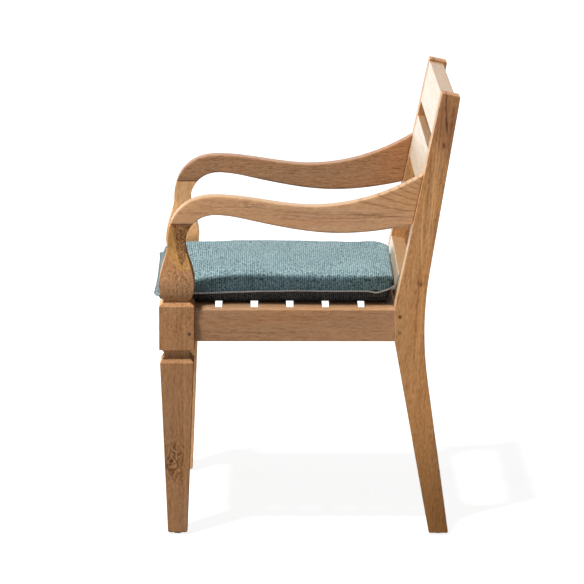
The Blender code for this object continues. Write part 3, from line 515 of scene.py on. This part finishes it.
def near_arm():
    """Arm with sweeping growth lines at the stile, a pink band below and a curl behind the crest."""
    wood = Teak(
        "arm_left", "Y", ARM_WOOD, 0.0, (0.34, 0.47),
        ring=0.0075, rings=0.12, streaks=0.65, coat=0.40,
    )
    # Painted light and shade: a tint on the faces that look up and a paler hue on those that look to the
    # front.
    wood.crown((0.97, 1.04, 0.98))
    wood.painted_front_light((1.25, 1.45, 1.60))
    wood.arcs((OUTER_FACE, 0.260, 0.6437), 0.0098, 0.0011, 0.36)
    for (y, z), (long, tall), darkness in (
        ((-0.2090, 0.6475), (0.0300, 0.0012), 0.30),
        ((-0.1860, 0.6727), (0.0120, 0.0010), 0.20),
        ((-0.0950, 0.6630), (0.0180, 0.0070), 0.10),
        ((-0.1150, 0.6640), (0.0035, 0.0080), 0.14),
        ((-0.1220, 0.6690), (0.0100, 0.0016), 0.14),
        ((-0.0600, 0.6440), (0.0600, 0.0012), 0.16),
        ((0.0400, 0.6360), (0.0900, 0.0012), 0.14),
        ((0.0900, 0.6420), (0.0700, 0.0014), 0.16),
    ):
        wood.mark((OUTER_FACE, y, z), (0.05, long, tall), darkness)
    for middle, place, slope, curve, reach, darkness in (
        (0.060, 0.6445, -0.02, 0.35, 0.150, 0.30),
        (0.070, 0.6375, -0.01, 0.40, 0.130, 0.24),
        (0.040, 0.6310, -0.03, 0.45, 0.110, 0.20),
        (-0.020, 0.6520, -0.06, 0.20, 0.090, 0.16),
        (-0.150, 0.6590, 0.02, -0.80, 0.050, 0.20),
    ):
        wood.trace(middle, place, slope, curve, reach, 0.0012, darkness)
    wood.swirl((OUTER_FACE, -0.108, 0.664), (0.08, 0.022, 0.010), 1.8, 0.26)
    wood.tone((OUTER_FACE, 0.03, 0.632), (0.1, 0.13, 0.012), (0.97, 0.92, 0.95))
    wood.tone((OUTER_FACE, 0.02, 0.656), (0.1, 0.09, 0.012), (0.98, 1.02, 1.10))
    wood.tone((OUTER_FACE, 0.22, 0.670), (0.1, 0.06, 0.04), (1.03, 0.95, 0.80))
    return wood


def far_arm():
    """Arm with many short dark streaks and an orange patch at its rear end."""
    wood = Teak(
        "arm_right", "Y", FAR_ARM_WOOD, 4.0, (-0.40, 0.50),
        ring=0.005, rings=0.2, streaks=1.3, dashes=0.34,
    )
    wood.tone((-0.24, 0.20, 0.66), (0.1, 0.06, 0.05), (1.12, 0.98, 0.82))
    return wood


def side_rail(name, colour, seed):
    """Rail with thin dark lines along its grain, and painted light that makes its top paler."""
    side = 1 if name.endswith("left") else -1
    wood = Teak(name, "Y", colour, seed, (0.40 * side, 0.34), ring=0.0065, streaks=0.9, coat=0.15)
    # Painted light: the faces that look up are made paler.
    wood.crown((1.20, 1.34, 1.50))
    for middle, place, slope, reach, darkness in (
        (-0.130, 0.4090, -0.012, 0.090, 0.34),
        (-0.170, 0.4130, -0.020, 0.050, 0.20),
        (-0.020, 0.4100, 0.010, 0.080, 0.16),
        (0.110, 0.4110, 0.015, 0.060, 0.22),
        (0.030, 0.4400, -0.010, 0.110, 0.14),
        (-0.100, 0.4350, -0.018, 0.090, 0.12),
        (0.140, 0.4300, 0.010, 0.050, 0.14),
    ):
        wood.trace(middle, place, slope, 0.0, reach, 0.0010, darkness)
    return wood


def wood_materials():
    """One material for each wooden piece, named after it."""
    woods = [near_arm(), far_arm()]
    woods.append(near_front_leg())
    woods.append(Teak("front_leg_right", "Z", FAR_LEG_PAINTED_LIGHT_WOOD, 12.0, (-0.42, -0.20), streaks=0.8, coat=0.08))
    woods.append(rear_leg("rear_leg_left", STILE_WOOD, 16.0))
    woods.append(rear_leg("rear_leg_right", STILE_WOOD, 20.0))
    woods.append(side_rail("seat_rail_left", RAIL_WOOD, 24.0))
    woods.append(side_rail("seat_rail_right", RAIL_WOOD, 28.0))
    woods.append(Teak("seat_rail_front", "X", RAIL_WOOD, 32.0, (-0.40, 0.34)))
    woods.append(Teak("seat_rail_rear", "X", RAIL_WOOD, 36.0, (0.36, 0.36)))
    for number, level in enumerate(("top", "middle", "low")):
        pith = (0.42, 0.80 - 0.16 * number)
        seed = 40.0 + 2 * number
        board = Teak(f"back_board_{level}", "X", BOARD_WOOD, seed, pith, streaks=0.5, coat=0.45)
        # Painted light and shade: the fronts are made much paler and the tops darker.
        woods.append(board.painted_front_light((1.43, 1.98, 2.96)).crown((0.74, 0.75, 0.73)))
    for number in range(1, 7):
        pith = (0.5 * number - 1.6, 0.40)
        seed = 48.0 + 4 * number
        slat = Teak(f"seat_slat_{number}", "X", SLAT_WOOD, seed, pith, streaks=0.5, coat=0.0)
        # Painted shade on the part of each slat under the cushion.
        woods.append(slat.tone((0.0, 0.0, 0.45), SLAT_PAINTED_SHADE_REACH, SLAT_PAINTED_SHADE, SLAT_PAINTED_SHADE_STRENGTH))
    woods.append(Teak("slat_cleat_left", "Y", RAIL_WOOD, 80.0, (0.40, 0.40)))
    woods.append(Teak("slat_cleat_right", "Y", RAIL_WOOD, 84.0, (-0.40, 0.40)))
    return {wood.shader.material.name: wood.make() for wood in woods}


def peg_material(name, colour):
    """End grain of a hardwood peg."""
    s = Shader(name)
    speck = s.noise(s.point, 900, 3.0, 0.6)
    tones = s.ramp(speck, (
        (0.25, shade(colour, (0.55, 0.52, 0.50))),
        (0.55, shade(colour, (1.0, 1.0, 1.0))),
        (0.8, shade(colour, (1.4, 1.45, 1.5))),
    ))
    s.bump(speck, 0.0003, 0.4)
    roughness = s.remap(speck, 0.2, 0.8, 0.8, 0.6)
    return s.finish(Base_Color=tones, Roughness=roughness, Specular_IOR_Level=0.15)


def nylon_material():
    """Dark moulded nylon, scuffed in places."""
    s = Shader("glide nylon")
    grain = s.noise(s.point, 1400, 2.0)
    scuff = s.remap(s.noise(s.point, 160, 3.0), 0.5, 0.7)
    colour = s.mix(scuff, (0.045, 0.040, 0.036, 1), (0.11, 0.10, 0.09, 1))
    s.bump(grain, 0.0002, 0.3)
    return s.finish(Base_Color=colour, Roughness=s.remap(grain, 0.3, 0.7, 0.45, 0.65))


def steel_material():
    """Plain brushed steel."""
    s = Shader("screw steel")
    x, y, z = s.split(s.point)
    lines = s.noise(s.join(s.math("MULTIPLY", x, 2500), y, s.math("MULTIPLY", z, 300)), 1.0, 2.0)
    colour = s.ramp(lines, ((0.3, (0.42, 0.42, 0.43, 1)), (0.7, (0.66, 0.66, 0.66, 1))))
    s.bump(lines, 0.0001, 0.3)
    return s.finish(Base_Color=colour, Metallic=1.0, Roughness=s.remap(lines, 0.3, 0.7, 0.28, 0.42))


SEAT_TOP = 0.4546               # where the cushion rests
SEAM = 0.4781                   # height of its seam
CUSHION_HALF = (0.2040, 0.2332)
CUSHION_MIDDLE = -0.0613        # its middle from front to back
CUSHION_CORNER = 0.015
CUSHION_DRAW_IN = 0.003         # sides drawn in between the corners
BODY_POINTS = 160               # points round each ring of the sewn body
TOP_EDGE = 0.5090
TOP_CORNER = 0.028
TOP_INSET = 0.008               # where the crown starts, in from the seam
TOP_REACH = 0.194               # from there to the middle
CROWN = 0.0055
CROWN_RINGS = (0.08, 0.16, 0.28, 0.42, 0.62, 0.88)
CORNER_DROP = 0.003
REAR_LEAN = 0.0160              # back edge pushed towards the boards
FAR_REAR_LEAN = 0.0045          # more of it on the far side
FAR_REAR_DROP = 0.0230          # far rear corner of the top hangs lower
FRONT_SINK = 0.004              # top lower at the front
NEAR_SINK = 0.0085              # more of it on the near side
SWELL = 0.0032                  # farthest that the filling moves a point
PRESSURE = 4.0
SEAM_BAND = 0.003               # cloth this near the seam is held
SEAT_BAND = 0.002               # and cloth this near the seat
VOXEL = 0.0055
SIM_FRAMES = 20
RIPPLE = 0.0016                 # slow waves along the seam
PUCKER = 0.0007                 # small unevenness of the covers
FLANGE_WIDTH = 0.0042
FLANGE_HALF = 0.0011            # half its thickness
FLANGE_LAP = 0.006              # part between the covers
FLANGE_POINTS = 480
# Outer edge of the flange, in shares of its width and of half its thickness
FLANGE_EDGE = ((-0.6, -1), (-0.95, -0.5), (-1.0, 0.0), (-0.95, 0.5), (-0.6, 1))
FLANGE_SINK = 0.0050            # near side lower towards the front
FLANGE_DIP = 0.0035             # dip before the near rear corner
FLANGE_WANDER = 0.0006
REAR_TUCK = 0.0035              # rear side drawn in, clear of the boards
EAR_REACH = {(1, 1): 0.0120, (1, -1): 0.0020, (-1, -1): 0.0050, (-1, 1): 0.0045}
EAR_RISE = {(1, 1): 0.0100, (1, -1): -0.0050, (-1, -1): 0.0010, (-1, 1): 0.0030}
STITCH_PITCH = 0.0042
STITCH_STEPS = 10               # points in each turn of the thread
STITCH_PATH_POINTS = 1600
STITCH_WIDE = 0.62              # half width of a turn, as a share of the flange
STITCH_PROUD = 0.0004           # thread above the flange
THREAD_RADIUS = 0.00045
THREAD_SIDES = 5
THREAD_FRONT = (-0.272, -0.288)  # the thread's painted shade at the front starts and ends here
# Painted shade on the thread along the cushion's front edge.
THREAD_FRONT_PAINTED_SHADE = (0.26, 0.29, 0.30, 1)
# Painted shade on the cushion's walls that face the front.
FRONT_WALL_PAINTED_SHADE = (0.58, 0.56, 0.56, 1)
RIB_PITCH = 0.0041


def fade(value, start, span):
    """0 up to the start, then rising evenly to 1 over the span."""
    return np.clip((value - start) / span, 0, 1)


def add_object(name, data):
    """A new object in the scene."""
    item = bpy.data.objects.new(name, data)
    bpy.context.scene.collection.objects.link(item)
    return item


def shade_smooth(item):
    for face in item.data.polygons:
        face.use_smooth = True
    return item


def outline(inset, count, corner=CUSHION_CORNER):
    """Even points round the cushion, inside its seam, with the sides drawn in between the corners."""
    half = np.array(CUSHION_HALF) - inset
    radius = max(corner - inset, 0.003)
    turn = np.linspace(0, math.pi / 2, 9)
    arcs = []
    for quarter, signs in enumerate(((1, 1), (-1, 1), (-1, -1), (1, -1))):
        angle = turn + quarter * math.pi / 2
        round_part = radius * np.stack((np.cos(angle), np.sin(angle)), 1)
        arcs.append(round_part + np.array(signs) * (half - radius))
    walk = np.concatenate(arcs + [arcs[0][:1]])
    length = np.concatenate(([0.0], np.cumsum(np.linalg.norm(np.diff(walk, axis=0), axis=1))))
    even = np.arange(count) / count * length[-1]
    points = np.stack([np.interp(even, length, walk[:, axis]) for axis in (0, 1)], 1)
    share = points / half
    pull = CUSHION_DRAW_IN * (1 - share[:, ::-1] ** 2) * share ** 3
    return points - pull


def cornered(points):
    """1 at the cushion's corners, 0 along its sides."""
    share = np.abs(points) / np.array(CUSHION_HALF)
    return np.clip(share.min(axis=1), 0, 1.05) ** 2


def mesh_object(name, vertices, faces):
    mesh = bpy.data.meshes.new(name)
    mesh.from_pydata([tuple(v) for v in vertices], [], faces)
    mesh.update()
    return add_object(name, mesh)


def loft(name, rings, close=True):
    """Skin over rings of equal count, closed at both ends or back to the first ring."""
    count = len(rings[0])
    vertices = np.concatenate(rings)
    faces = []
    levels = len(rings) if not close else len(rings) - 1
    for level in range(levels):
        low, high = level * count, (level + 1) % len(rings) * count
        for step in range(count):
            after = (step + 1) % count
            faces.append((low + step, low + after, high + after, high + step))
    if close:
        faces.append(tuple(reversed(range(count))))
        faces.append(tuple(range(len(vertices) - count, len(vertices))))
    return mesh_object(name, vertices, faces)


def sewn_body():
    """The cushion before its filling swells it: flat base, waist at the seam, low crown."""
    base = [(0.016, SEAT_TOP), (0.008, SEAT_TOP + 0.003), (0.0040, SEAT_TOP + 0.009)]
    waist = [(0.002, SEAM - 0.004), (0.001, SEAM), (0.0, SEAM + 0.006)]
    edge = [(0.002, TOP_EDGE - 0.014), (0.0045, TOP_EDGE - 0.0055)]
    edge += [(0.008, TOP_EDGE - 0.0012), (0.013, TOP_EDGE + 0.0002)]
    levels = base + waist + edge
    for share in CROWN_RINGS:
        rise = CROWN * math.sin(share * math.pi / 2)
        levels.append((TOP_INSET + share * TOP_REACH, TOP_EDGE + rise))
    rings = []
    for inset, height in levels:
        above = min(max(0.0, height - SEAM) / (TOP_EDGE - SEAM), 1.0)
        flat = outline(inset, BODY_POINTS, CUSHION_CORNER + above * (TOP_CORNER - CUSHION_CORNER))
        drop = CORNER_DROP * above * cornered(flat)
        rings.append(sat_on(np.column_stack((flat, height - drop))))
    return loft("sewn body", rings)


def sat_on(points):
    """The form taken in use: the back edge leans on the boards, the front sinks, most at the left."""
    share = points[:, :2] / np.array(CUSHION_HALF)
    above = fade(points[:, 2], SEAM, TOP_EDGE - SEAM)
    rear = fade(share[:, 1], 0.65, 0.3) ** 2
    front = fade(-share[:, 1], 0.2, 0.75) ** 1.7
    left = np.clip(0.5 + 0.5 * share[:, 0], 0, 1)
    far = fade(-share[:, 0], 0.55, 0.45)
    roll = fade(share[:, 1], 0.885, 0.115) ** 2
    points[:, 1] += (REAR_LEAN + FAR_REAR_LEAN * (1 - left)) * rear * above
    points[:, 2] -= FAR_REAR_DROP * far * roll * above
    points[:, 2] -= (FRONT_SINK + NEAR_SINK * left ** 2) * front * above
    return points


def positions(mesh):
    flat = np.empty(len(mesh.vertices) * 3)
    mesh.vertices.foreach_get("co", flat)
    return flat.reshape(-1, 3)


def set_positions(mesh, points):
    mesh.vertices.foreach_set("co", np.ascontiguousarray(points).ravel())
    mesh.update()


def settle(item):
    """Turn the modifiers of an object into its mesh."""
    shown = item.evaluated_get(bpy.context.evaluated_depsgraph_get())
    mesh = bpy.data.meshes.new_from_object(shown)
    item.modifiers.clear()
    item.data = mesh
    return mesh


def swell(item):
    """Press the covers out from inside as cloth that is held at the seam and by the seat."""
    start = positions(item.data)
    held = np.abs(start[:, 2] - SEAM) < SEAM_BAND
    held |= start[:, 2] < SEAT_TOP + SEAT_BAND
    pins = item.vertex_groups.new(name="held")
    pins.add([int(index) for index in np.nonzero(held)[0]], 1.0, "REPLACE")
    cloth = item.modifiers.new("filling", "CLOTH")
    cloth.settings.use_pressure = True
    cloth.settings.uniform_pressure_force = PRESSURE
    cloth.settings.effector_weights.gravity = 0.0
    cloth.settings.vertex_group_mass = "held"
    cloth.settings.quality = 5
    cloth.point_cache.frame_end = SIM_FRAMES
    scene = bpy.context.scene
    for step in range(1, SIM_FRAMES + 1):
        scene.frame_set(step)
    mesh = settle(item)
    scene.frame_set(1)
    item.vertex_groups.clear()
    move = positions(mesh) - start
    far = np.maximum(np.linalg.norm(move, axis=1, keepdims=True), 1e-9)
    set_positions(mesh, start + move / far * SWELL * np.tanh(far / SWELL))


def by_corner(flat, values):
    """For each point, the value of the corner whose quarter of the cushion it lies in."""
    total = np.zeros(len(flat))
    for (x, y), value in values.items():
        total += value * ((flat[:, 0] * x > 0) & (flat[:, 1] * y > 0))
    return total


def seam_wave(flat):
    """Height of the seam above its plane: slow ripples, and corners that turn up like ears."""
    ripple = np.array([noise.noise((x * 11, y * 11, 2.7)) for x, y in flat]) * RIPPLE
    share = flat / np.array(CUSHION_HALF)
    left = np.clip(share[:, 0], 0, 1)
    sink = -FLANGE_SINK * fade(-share[:, 1], 0.1, 0.8) * left
    dip = -FLANGE_DIP * np.exp(-((share[:, 1] - 0.87) / 0.05) ** 2) * left
    near = cornered(flat) ** 9
    return ripple + sink + dip + near * by_corner(flat, EAR_RISE)


def crumple(points):
    """Small unevenness of stuffed cloth, none where it lies on the seat."""
    flat = points[:, :2] - (0.0, CUSHION_MIDDLE)
    near = np.exp(-((points[:, 2] - SEAM) / 0.011) ** 2)
    free = fade(points[:, 2], SEAT_TOP, 0.012)
    points[:, 2] += seam_wave(flat) * near * free
    puckers = np.array([noise.noise(p * 38) + 0.5 * noise.noise(p * 95) for p in map(Vector, points)])
    outward = np.column_stack((flat / np.array(CUSHION_HALF), np.full(len(flat), 0.9)))
    points += outward * (puckers * free * PUCKER)[:, None]
    points[:, 2] = np.maximum(points[:, 2], SEAT_TOP)
    return points


def half_of(body, name, above):
    """The part of the body on one side of the seam, closed along the cut."""
    shape = bmesh.new()
    shape.from_mesh(body.data)
    wave = seam_wave(positions(body.data)[:, :2] - (0.0, CUSHION_MIDDLE))
    for vertex, rise in zip(shape.verts, wave):
        vertex.co.z -= rise
    everything = shape.verts[:] + shape.edges[:] + shape.faces[:]
    bmesh.ops.bisect_plane(
        shape, geom=everything, plane_co=(0, 0, SEAM), plane_no=(0, 0, 1),
        clear_inner=above, clear_outer=not above,
    )
    rim = [edge for edge in shape.edges if edge.is_boundary]
    bmesh.ops.contextual_create(shape, geom=rim)
    for vertex in shape.verts:
        flat = np.array([[vertex.co.x, vertex.co.y - CUSHION_MIDDLE]])
        vertex.co.z += float(seam_wave(flat)[0])
    for face in shape.faces:
        face.smooth = True
    mesh = bpy.data.meshes.new(name)
    shape.to_mesh(mesh)
    shape.free()
    return add_object(name, mesh)


def flange_path(inset, count):
    """Points and outward directions along the flange, with its ears and ripples."""
    flat = outline(inset, count)
    along = np.roll(flat, -1, axis=0) - np.roll(flat, 1, axis=0)
    outward = np.column_stack((along[:, 1], -along[:, 0])) / np.linalg.norm(along, axis=1)[:, None]
    corner = cornered(flat)
    flat[:, 1] -= REAR_TUCK * np.clip(flat[:, 1] / CUSHION_HALF[1] - 0.9, 0, 0.1) * 10 * (1 - corner ** 4)
    flat += outward * (by_corner(flat, EAR_REACH) * corner ** 14)[:, None]
    wander = np.array([noise.noise((x * 23, y * 23, 5.1)) for x, y in flat])
    flat += outward * wander[:, None] * FLANGE_WANDER
    height = SEAM + seam_wave(flat)
    return np.column_stack((flat + (0.0, CUSHION_MIDDLE), height)), outward


def make_flange():
    """Flat tape sewn between the covers, with a rounded outer edge."""
    outer = [(share * FLANGE_WIDTH, side) for share, side in FLANGE_EDGE]
    rings = []
    for inset, side in [(FLANGE_LAP, -1), *outer, (FLANGE_LAP, 1)]:
        path, _ = flange_path(inset, FLANGE_POINTS)
        path[:, 2] += side * FLANGE_HALF
        rings.append(path)
    return shade_smooth(loft("cushion_edge", rings, close=False))


def make_stitches():
    """Overlock thread wound round the flange as one coil."""
    path, outward = flange_path(-FLANGE_WIDTH * 0.45, STITCH_PATH_POINTS)
    length = np.linalg.norm(np.roll(path, -1, axis=0) - path, axis=1).sum()
    turns = round(length / STITCH_PITCH)
    total = turns * STITCH_STEPS
    place = np.arange(total) / total * len(path)
    loop = np.vstack((path, path[:1]))
    facing = np.vstack((outward, outward[:1]))
    index = np.arange(len(loop))
    centre = np.stack([np.interp(place, index, loop[:, axis]) for axis in range(3)], 1)
    sideways = [np.interp(place, index, facing[:, axis]) for axis in range(2)]
    out = np.stack([*sideways, np.zeros(total)], 1)
    angle = np.arange(total) / STITCH_STEPS * 2 * math.pi
    up = np.array((0.0, 0.0, 1.0))
    wide = FLANGE_WIDTH * STITCH_WIDE
    tall = FLANGE_HALF + STITCH_PROUD
    spoke = out * np.cos(angle)[:, None] * wide + up * np.sin(angle)[:, None] * tall
    spoke_unit = spoke / np.linalg.norm(spoke, axis=1)[:, None]
    line = centre + spoke
    tangent = np.roll(line, -1, axis=0) - np.roll(line, 1, axis=0)
    tangent /= np.linalg.norm(tangent, axis=1)[:, None]
    across = np.cross(tangent, spoke_unit)
    rings = []
    for step in range(THREAD_SIDES):
        turn = step / THREAD_SIDES * 2 * math.pi
        rings.append(line + THREAD_RADIUS * (spoke_unit * math.cos(turn) + across * math.sin(turn)))
    return shade_smooth(loft("cushion_stitches", rings, close=False))


def make_cushion():
    """Swell the sewn body, cut it at the seam and add the flange and its thread."""
    body = sewn_body()
    remesh = body.modifiers.new("even mesh", "REMESH")
    remesh.mode = "VOXEL"
    remesh.voxel_size = VOXEL
    settle(body)
    relax = body.modifiers.new("relax", "SMOOTH")
    relax.factor = 0.5
    relax.iterations = 2
    settle(body)
    swell(body)
    finer = body.modifiers.new("finer", "SUBSURF")
    finer.levels = 1
    settle(body)
    points = positions(body.data)
    points[:, 1] += CUSHION_MIDDLE
    set_positions(body.data, crumple(points))
    upper = half_of(body, "cushion_upper", True)
    lower = half_of(body, "cushion_lower", False)
    bpy.data.objects.remove(body, do_unlink=True)
    return upper, lower, make_flange(), make_stitches()


def ribbed(s):
    """Height of a ribbed weave: ribs from side to side on top, upright on the walls."""
    x, y, _ = s.split(s.point)
    facing = s.split(s.coordinates.outputs["Normal"])
    wander = s.math("MULTIPLY", s.math("SUBTRACT", s.noise(s.point, 40, 2.0), 0.5), 0.0012)
    end_wall = s.remap(s.math("ABSOLUTE", facing[1]), 0.55, 0.75)
    place = s.math("ADD", s.mix_number(end_wall, y, x), wander)
    wave = s.math("SINE", s.math("MULTIPLY", place, 2 * math.pi / RIB_PITCH))
    return s.math("MULTIPLY_ADD", wave, 0.5, 0.5)


def fabric(name, dark, middle, pale, painted_wall_light, sheen):
    """Ribbed weave of uneven yarn, with painted light and shade on the walls."""
    s = Shader(name)
    rib = ribbed(s)
    x, y, z = s.split(s.point)
    stretched = s.join(s.math("MULTIPLY", x, 110), s.math("MULTIPLY", y, 300), s.math("MULTIPLY", z, 300))
    yarn = s.noise(stretched, 1.0, 1.0, 0.5)
    gaps = s.remap(yarn, 0.45, 0.33)
    loops = s.remap(yarn, 0.54, 0.68)
    fleck = s.noise(s.point, 900, 2.0, 0.6)
    cloud = s.noise(s.point, 14, 3.0)
    tone = s.math("MULTIPLY_ADD", s.math("SUBTRACT", rib, 0.5), 0.38, 0.5)
    tone = s.math("MULTIPLY_ADD", gaps, -0.42, tone)
    tone = s.math("MULTIPLY_ADD", loops, 0.24, tone)
    tone = s.math("MULTIPLY_ADD", s.math("SUBTRACT", fleck, 0.5), 0.75, tone)
    tone = s.math("MULTIPLY_ADD", s.math("SUBTRACT", cloud, 0.5), 0.25, tone)
    colour = s.ramp(tone, ((0.15, dark), (0.5, middle), (0.85, pale)))
    facing = s.split(s.coordinates.outputs["Normal"])
    # Painted light and shade: walls that face the sides take another hue, and walls that face the front are
    # darkened.
    side = s.remap(s.math("ABSOLUTE", facing[0]), 0.30, 0.80)
    colour = s.mix(side, colour, painted_wall_light, "MULTIPLY")
    front = s.remap(facing[1], -0.35, -0.75)
    colour = s.mix(front, colour, FRONT_WALL_PAINTED_SHADE, "MULTIPLY")
    height = s.math("MULTIPLY_ADD", yarn, 0.6, rib)
    s.bump(height, 0.0012, 0.8)
    s.finish(Base_Color=colour, Roughness=s.remap(yarn, 0.2, 0.8, 0.95, 0.8), Specular_IOR_Level=0.15)
    s.finish(Sheen_Weight=sheen, Sheen_Roughness=0.45, Sheen_Tint=(0.75, 0.9, 0.93, 1))
    return s.material


def thread_material(name, dark, pale):
    """Twisted yarn, with painted shade along the cushion's front edge."""
    s = Shader(name)
    twist = s.noise(s.point, 1100, 2.0, 0.6)
    patch = s.noise(s.point, 120, 2.0)
    tone = s.math("MULTIPLY_ADD", s.math("SUBTRACT", patch, 0.5), 0.8, twist)
    colour = s.ramp(tone, ((0.25, dark), (0.7, pale)))
    # Painted shade along the cushion's front edge.
    front = s.remap(s.split(s.point)[1], *THREAD_FRONT)
    colour = s.mix(front, colour, THREAD_FRONT_PAINTED_SHADE, "MULTIPLY")
    s.bump(twist, 0.0003, 0.5)
    return s.finish(Base_Color=colour, Roughness=s.remap(twist, 0.2, 0.8, 0.9, 0.75), Sheen_Weight=0.2)


def dress_cushion():
    """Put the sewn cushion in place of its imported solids."""
    upper, lower, edge, stitches = make_cushion()
    # The last colour given to each fabric is the painted light and shade on its walls.
    blue = fabric(
        "upper fabric", (0.043, 0.088, 0.100, 1), (0.200, 0.316, 0.340, 1), (0.435, 0.562, 0.588, 1),
        (0.92, 1.08, 1.20, 1), 0.35,
    )
    coal = fabric(
        "lower fabric", (0.020, 0.022, 0.024, 1), (0.076, 0.083, 0.088, 1), (0.18, 0.195, 0.205, 1),
        (0.9, 0.9, 0.9, 1), 0.05,
    )
    cord = thread_material("edging thread", (0.82, 0.96, 1.0, 1), (1.0, 1.0, 1.0, 1))
    tape = thread_material("edging tape", (0.72, 0.90, 0.98, 1), (0.96, 1.0, 1.0, 1))
    for item, finish, slot, nodes in (
        (upper, blue, "upper_fabric", ("cushion_top_cover", "cushion_foam_core")),
        (lower, coal, "lower_fabric", ("cushion_base_cover",)),
        (edge, tape, "flange_edging", ("cushion_flange",)),
        (stitches, cord, "flange_edging", ()),
    ):
        item.data.materials.append(finish)
        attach(item, "cushion")
        if nodes:
            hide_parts(*nodes)


# Lamps: name, direction they shine from, strength, spread in degrees, colour
LAMPS = (
    ("key", (0.295, -0.238, 0.925), 1.34, 6, WHITE),
    ("fill", (0.93, -0.35, 0.03), 0.14, 30, COOL_WHITE),
    ("front", (-0.35, -0.93, 0.03), 0.55, 30, WHITE),
)
AMBIENT = (1.0, 0.985, 0.96, 1.0)
AMBIENT_STRENGTH = 0.08
FLOOR_RADIUS = 40.0
FLOOR_DROP = 0.0004             # floor below the glides, so that the faces don't meet
FLOOR_DARK = (0.29, 0.29, 0.29, 1)
FLOOR_PALE = (0.32, 0.32, 0.32, 1)
FLOOR_GLOW = 0.87               # what the camera sees is lifted to white


def make_camera():
    """Camera where the photograph was taken from."""
    forward = Vector((
        -math.cos(CAMERA_PITCH) * math.cos(CAMERA_YAW),
        math.cos(CAMERA_PITCH) * math.sin(CAMERA_YAW),
        -math.sin(CAMERA_PITCH),
    ))
    right = Vector((math.sin(CAMERA_YAW), math.cos(CAMERA_YAW), 0.0))
    turn = Matrix.Rotation(CAMERA_ROLL, 3, forward)
    right = turn @ right
    up = right.cross(forward)
    place = Matrix((right, up, -forward)).transposed().to_4x4()
    place.translation = CAMERA_PLACE
    lens = bpy.data.cameras.new("camera")
    lens.sensor_width = SENSOR
    lens.lens = FOCAL_PIXELS * SENSOR / IMAGE_SIDE
    lens.clip_end = 200.0
    camera = add_object("camera", lens)
    camera.matrix_world = place
    bpy.context.scene.camera = camera


def add_sun(name, source, strength, spread, colour):
    """A soft lamp that shines from the direction of a point towards the chair."""
    lamp = bpy.data.lights.new(name, "SUN")
    lamp.energy = strength * math.pi
    lamp.color = colour[:3]
    lamp.angle = math.radians(spread)
    item = add_object(name, lamp)
    item.rotation_euler = Vector(source).to_track_quat("Z", "Y").to_euler()


def seen_directly(tree):
    """1 for rays from the camera, also by way of a mirror or glass."""
    path = tree.nodes.new("ShaderNodeLightPath")
    total = path.outputs["Is Camera Ray"]
    for name in ("Is Glossy Ray", "Is Transmission Ray"):
        larger = tree.nodes.new("ShaderNodeMath")
        larger.operation = "MAXIMUM"
        tree.links.new(total, larger.inputs[0])
        tree.links.new(path.outputs[name], larger.inputs[1])
        total = larger.outputs[0]
    return total


def make_world():
    """Faint even light, and a white background for the camera."""
    world = bpy.data.worlds.new("studio")
    bpy.context.scene.world = world
    world.use_nodes = True
    tree = world.node_tree
    ambient = tree.nodes["Background"]
    ambient.inputs["Color"].default_value = AMBIENT
    ambient.inputs["Strength"].default_value = AMBIENT_STRENGTH
    white = tree.nodes.new("ShaderNodeBackground")
    white.inputs["Color"].default_value = WHITE
    pick = tree.nodes.new("ShaderNodeMixShader")
    tree.links.new(seen_directly(tree), pick.inputs[0])
    tree.links.new(ambient.outputs[0], pick.inputs[1])
    tree.links.new(white.outputs[0], pick.inputs[2])
    tree.links.new(pick.outputs[0], tree.nodes["World Output"].inputs["Surface"])


def make_floor():
    """Plain pale floor that keeps the chair's shadow."""
    shape = bmesh.new()
    bmesh.ops.create_circle(shape, cap_ends=True, segments=96, radius=FLOOR_RADIUS)
    mesh = bpy.data.meshes.new("floor")
    shape.to_mesh(mesh)
    shape.free()
    floor = add_object("floor", mesh)
    floor.location.z = -FLOOR_DROP
    s = Shader("pale floor")
    cloud = s.noise(s.point, 3.0, 3.0)
    colour = s.mix(cloud, FLOOR_DARK, FLOOR_PALE)
    s.finish(Base_Color=colour, Roughness=0.9)
    glow = s.node("ShaderNodeEmission", {"Color": WHITE, "Strength": FLOOR_GLOW})
    both = s.node("ShaderNodeAddShader", {0: s.surface.outputs[0], 1: glow.outputs[0]})
    inputs = {0: seen_directly(s.tree), 1: s.surface.outputs[0], 2: both.outputs[0]}
    pick = s.node("ShaderNodeMixShader", inputs)
    s.plug(s.tree.nodes["Material Output"].inputs["Surface"], pick.outputs[0])
    mesh.materials.append(s.material)


def main():
    for old in list(bpy.data.objects):
        bpy.data.objects.remove(old, do_unlink=True)
    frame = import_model()
    bpy.context.scene.view_settings.view_transform = "Standard"
    group = soft_shading()
    woods = wood_materials()
    dark_peg = peg_material("dark peg wood", DARK_PEG_WOOD)
    pale_peg = peg_material("pale peg wood", PALE_PEG_WOOD)
    nylon = nylon_material()
    steel = steel_material()
    for name, item in frame["nodes"].items():
        if name in woods:
            dress(item, woods[name], group)
        elif name in DARK_PEGS:
            dress(item, dark_peg, group)
        elif name.startswith(("peg", "arm_dowel")):
            dress(item, pale_peg, group)
        elif name.startswith("glide"):
            dress(item, nylon, group)
        elif "screw" in name:
            dress(item, steel, group)
    dress_cushion()
    make_camera()
    make_world()
    for lamp in LAMPS:
        add_sun(*lamp)
    make_floor()
    bpy.context.view_layer.update()


main()
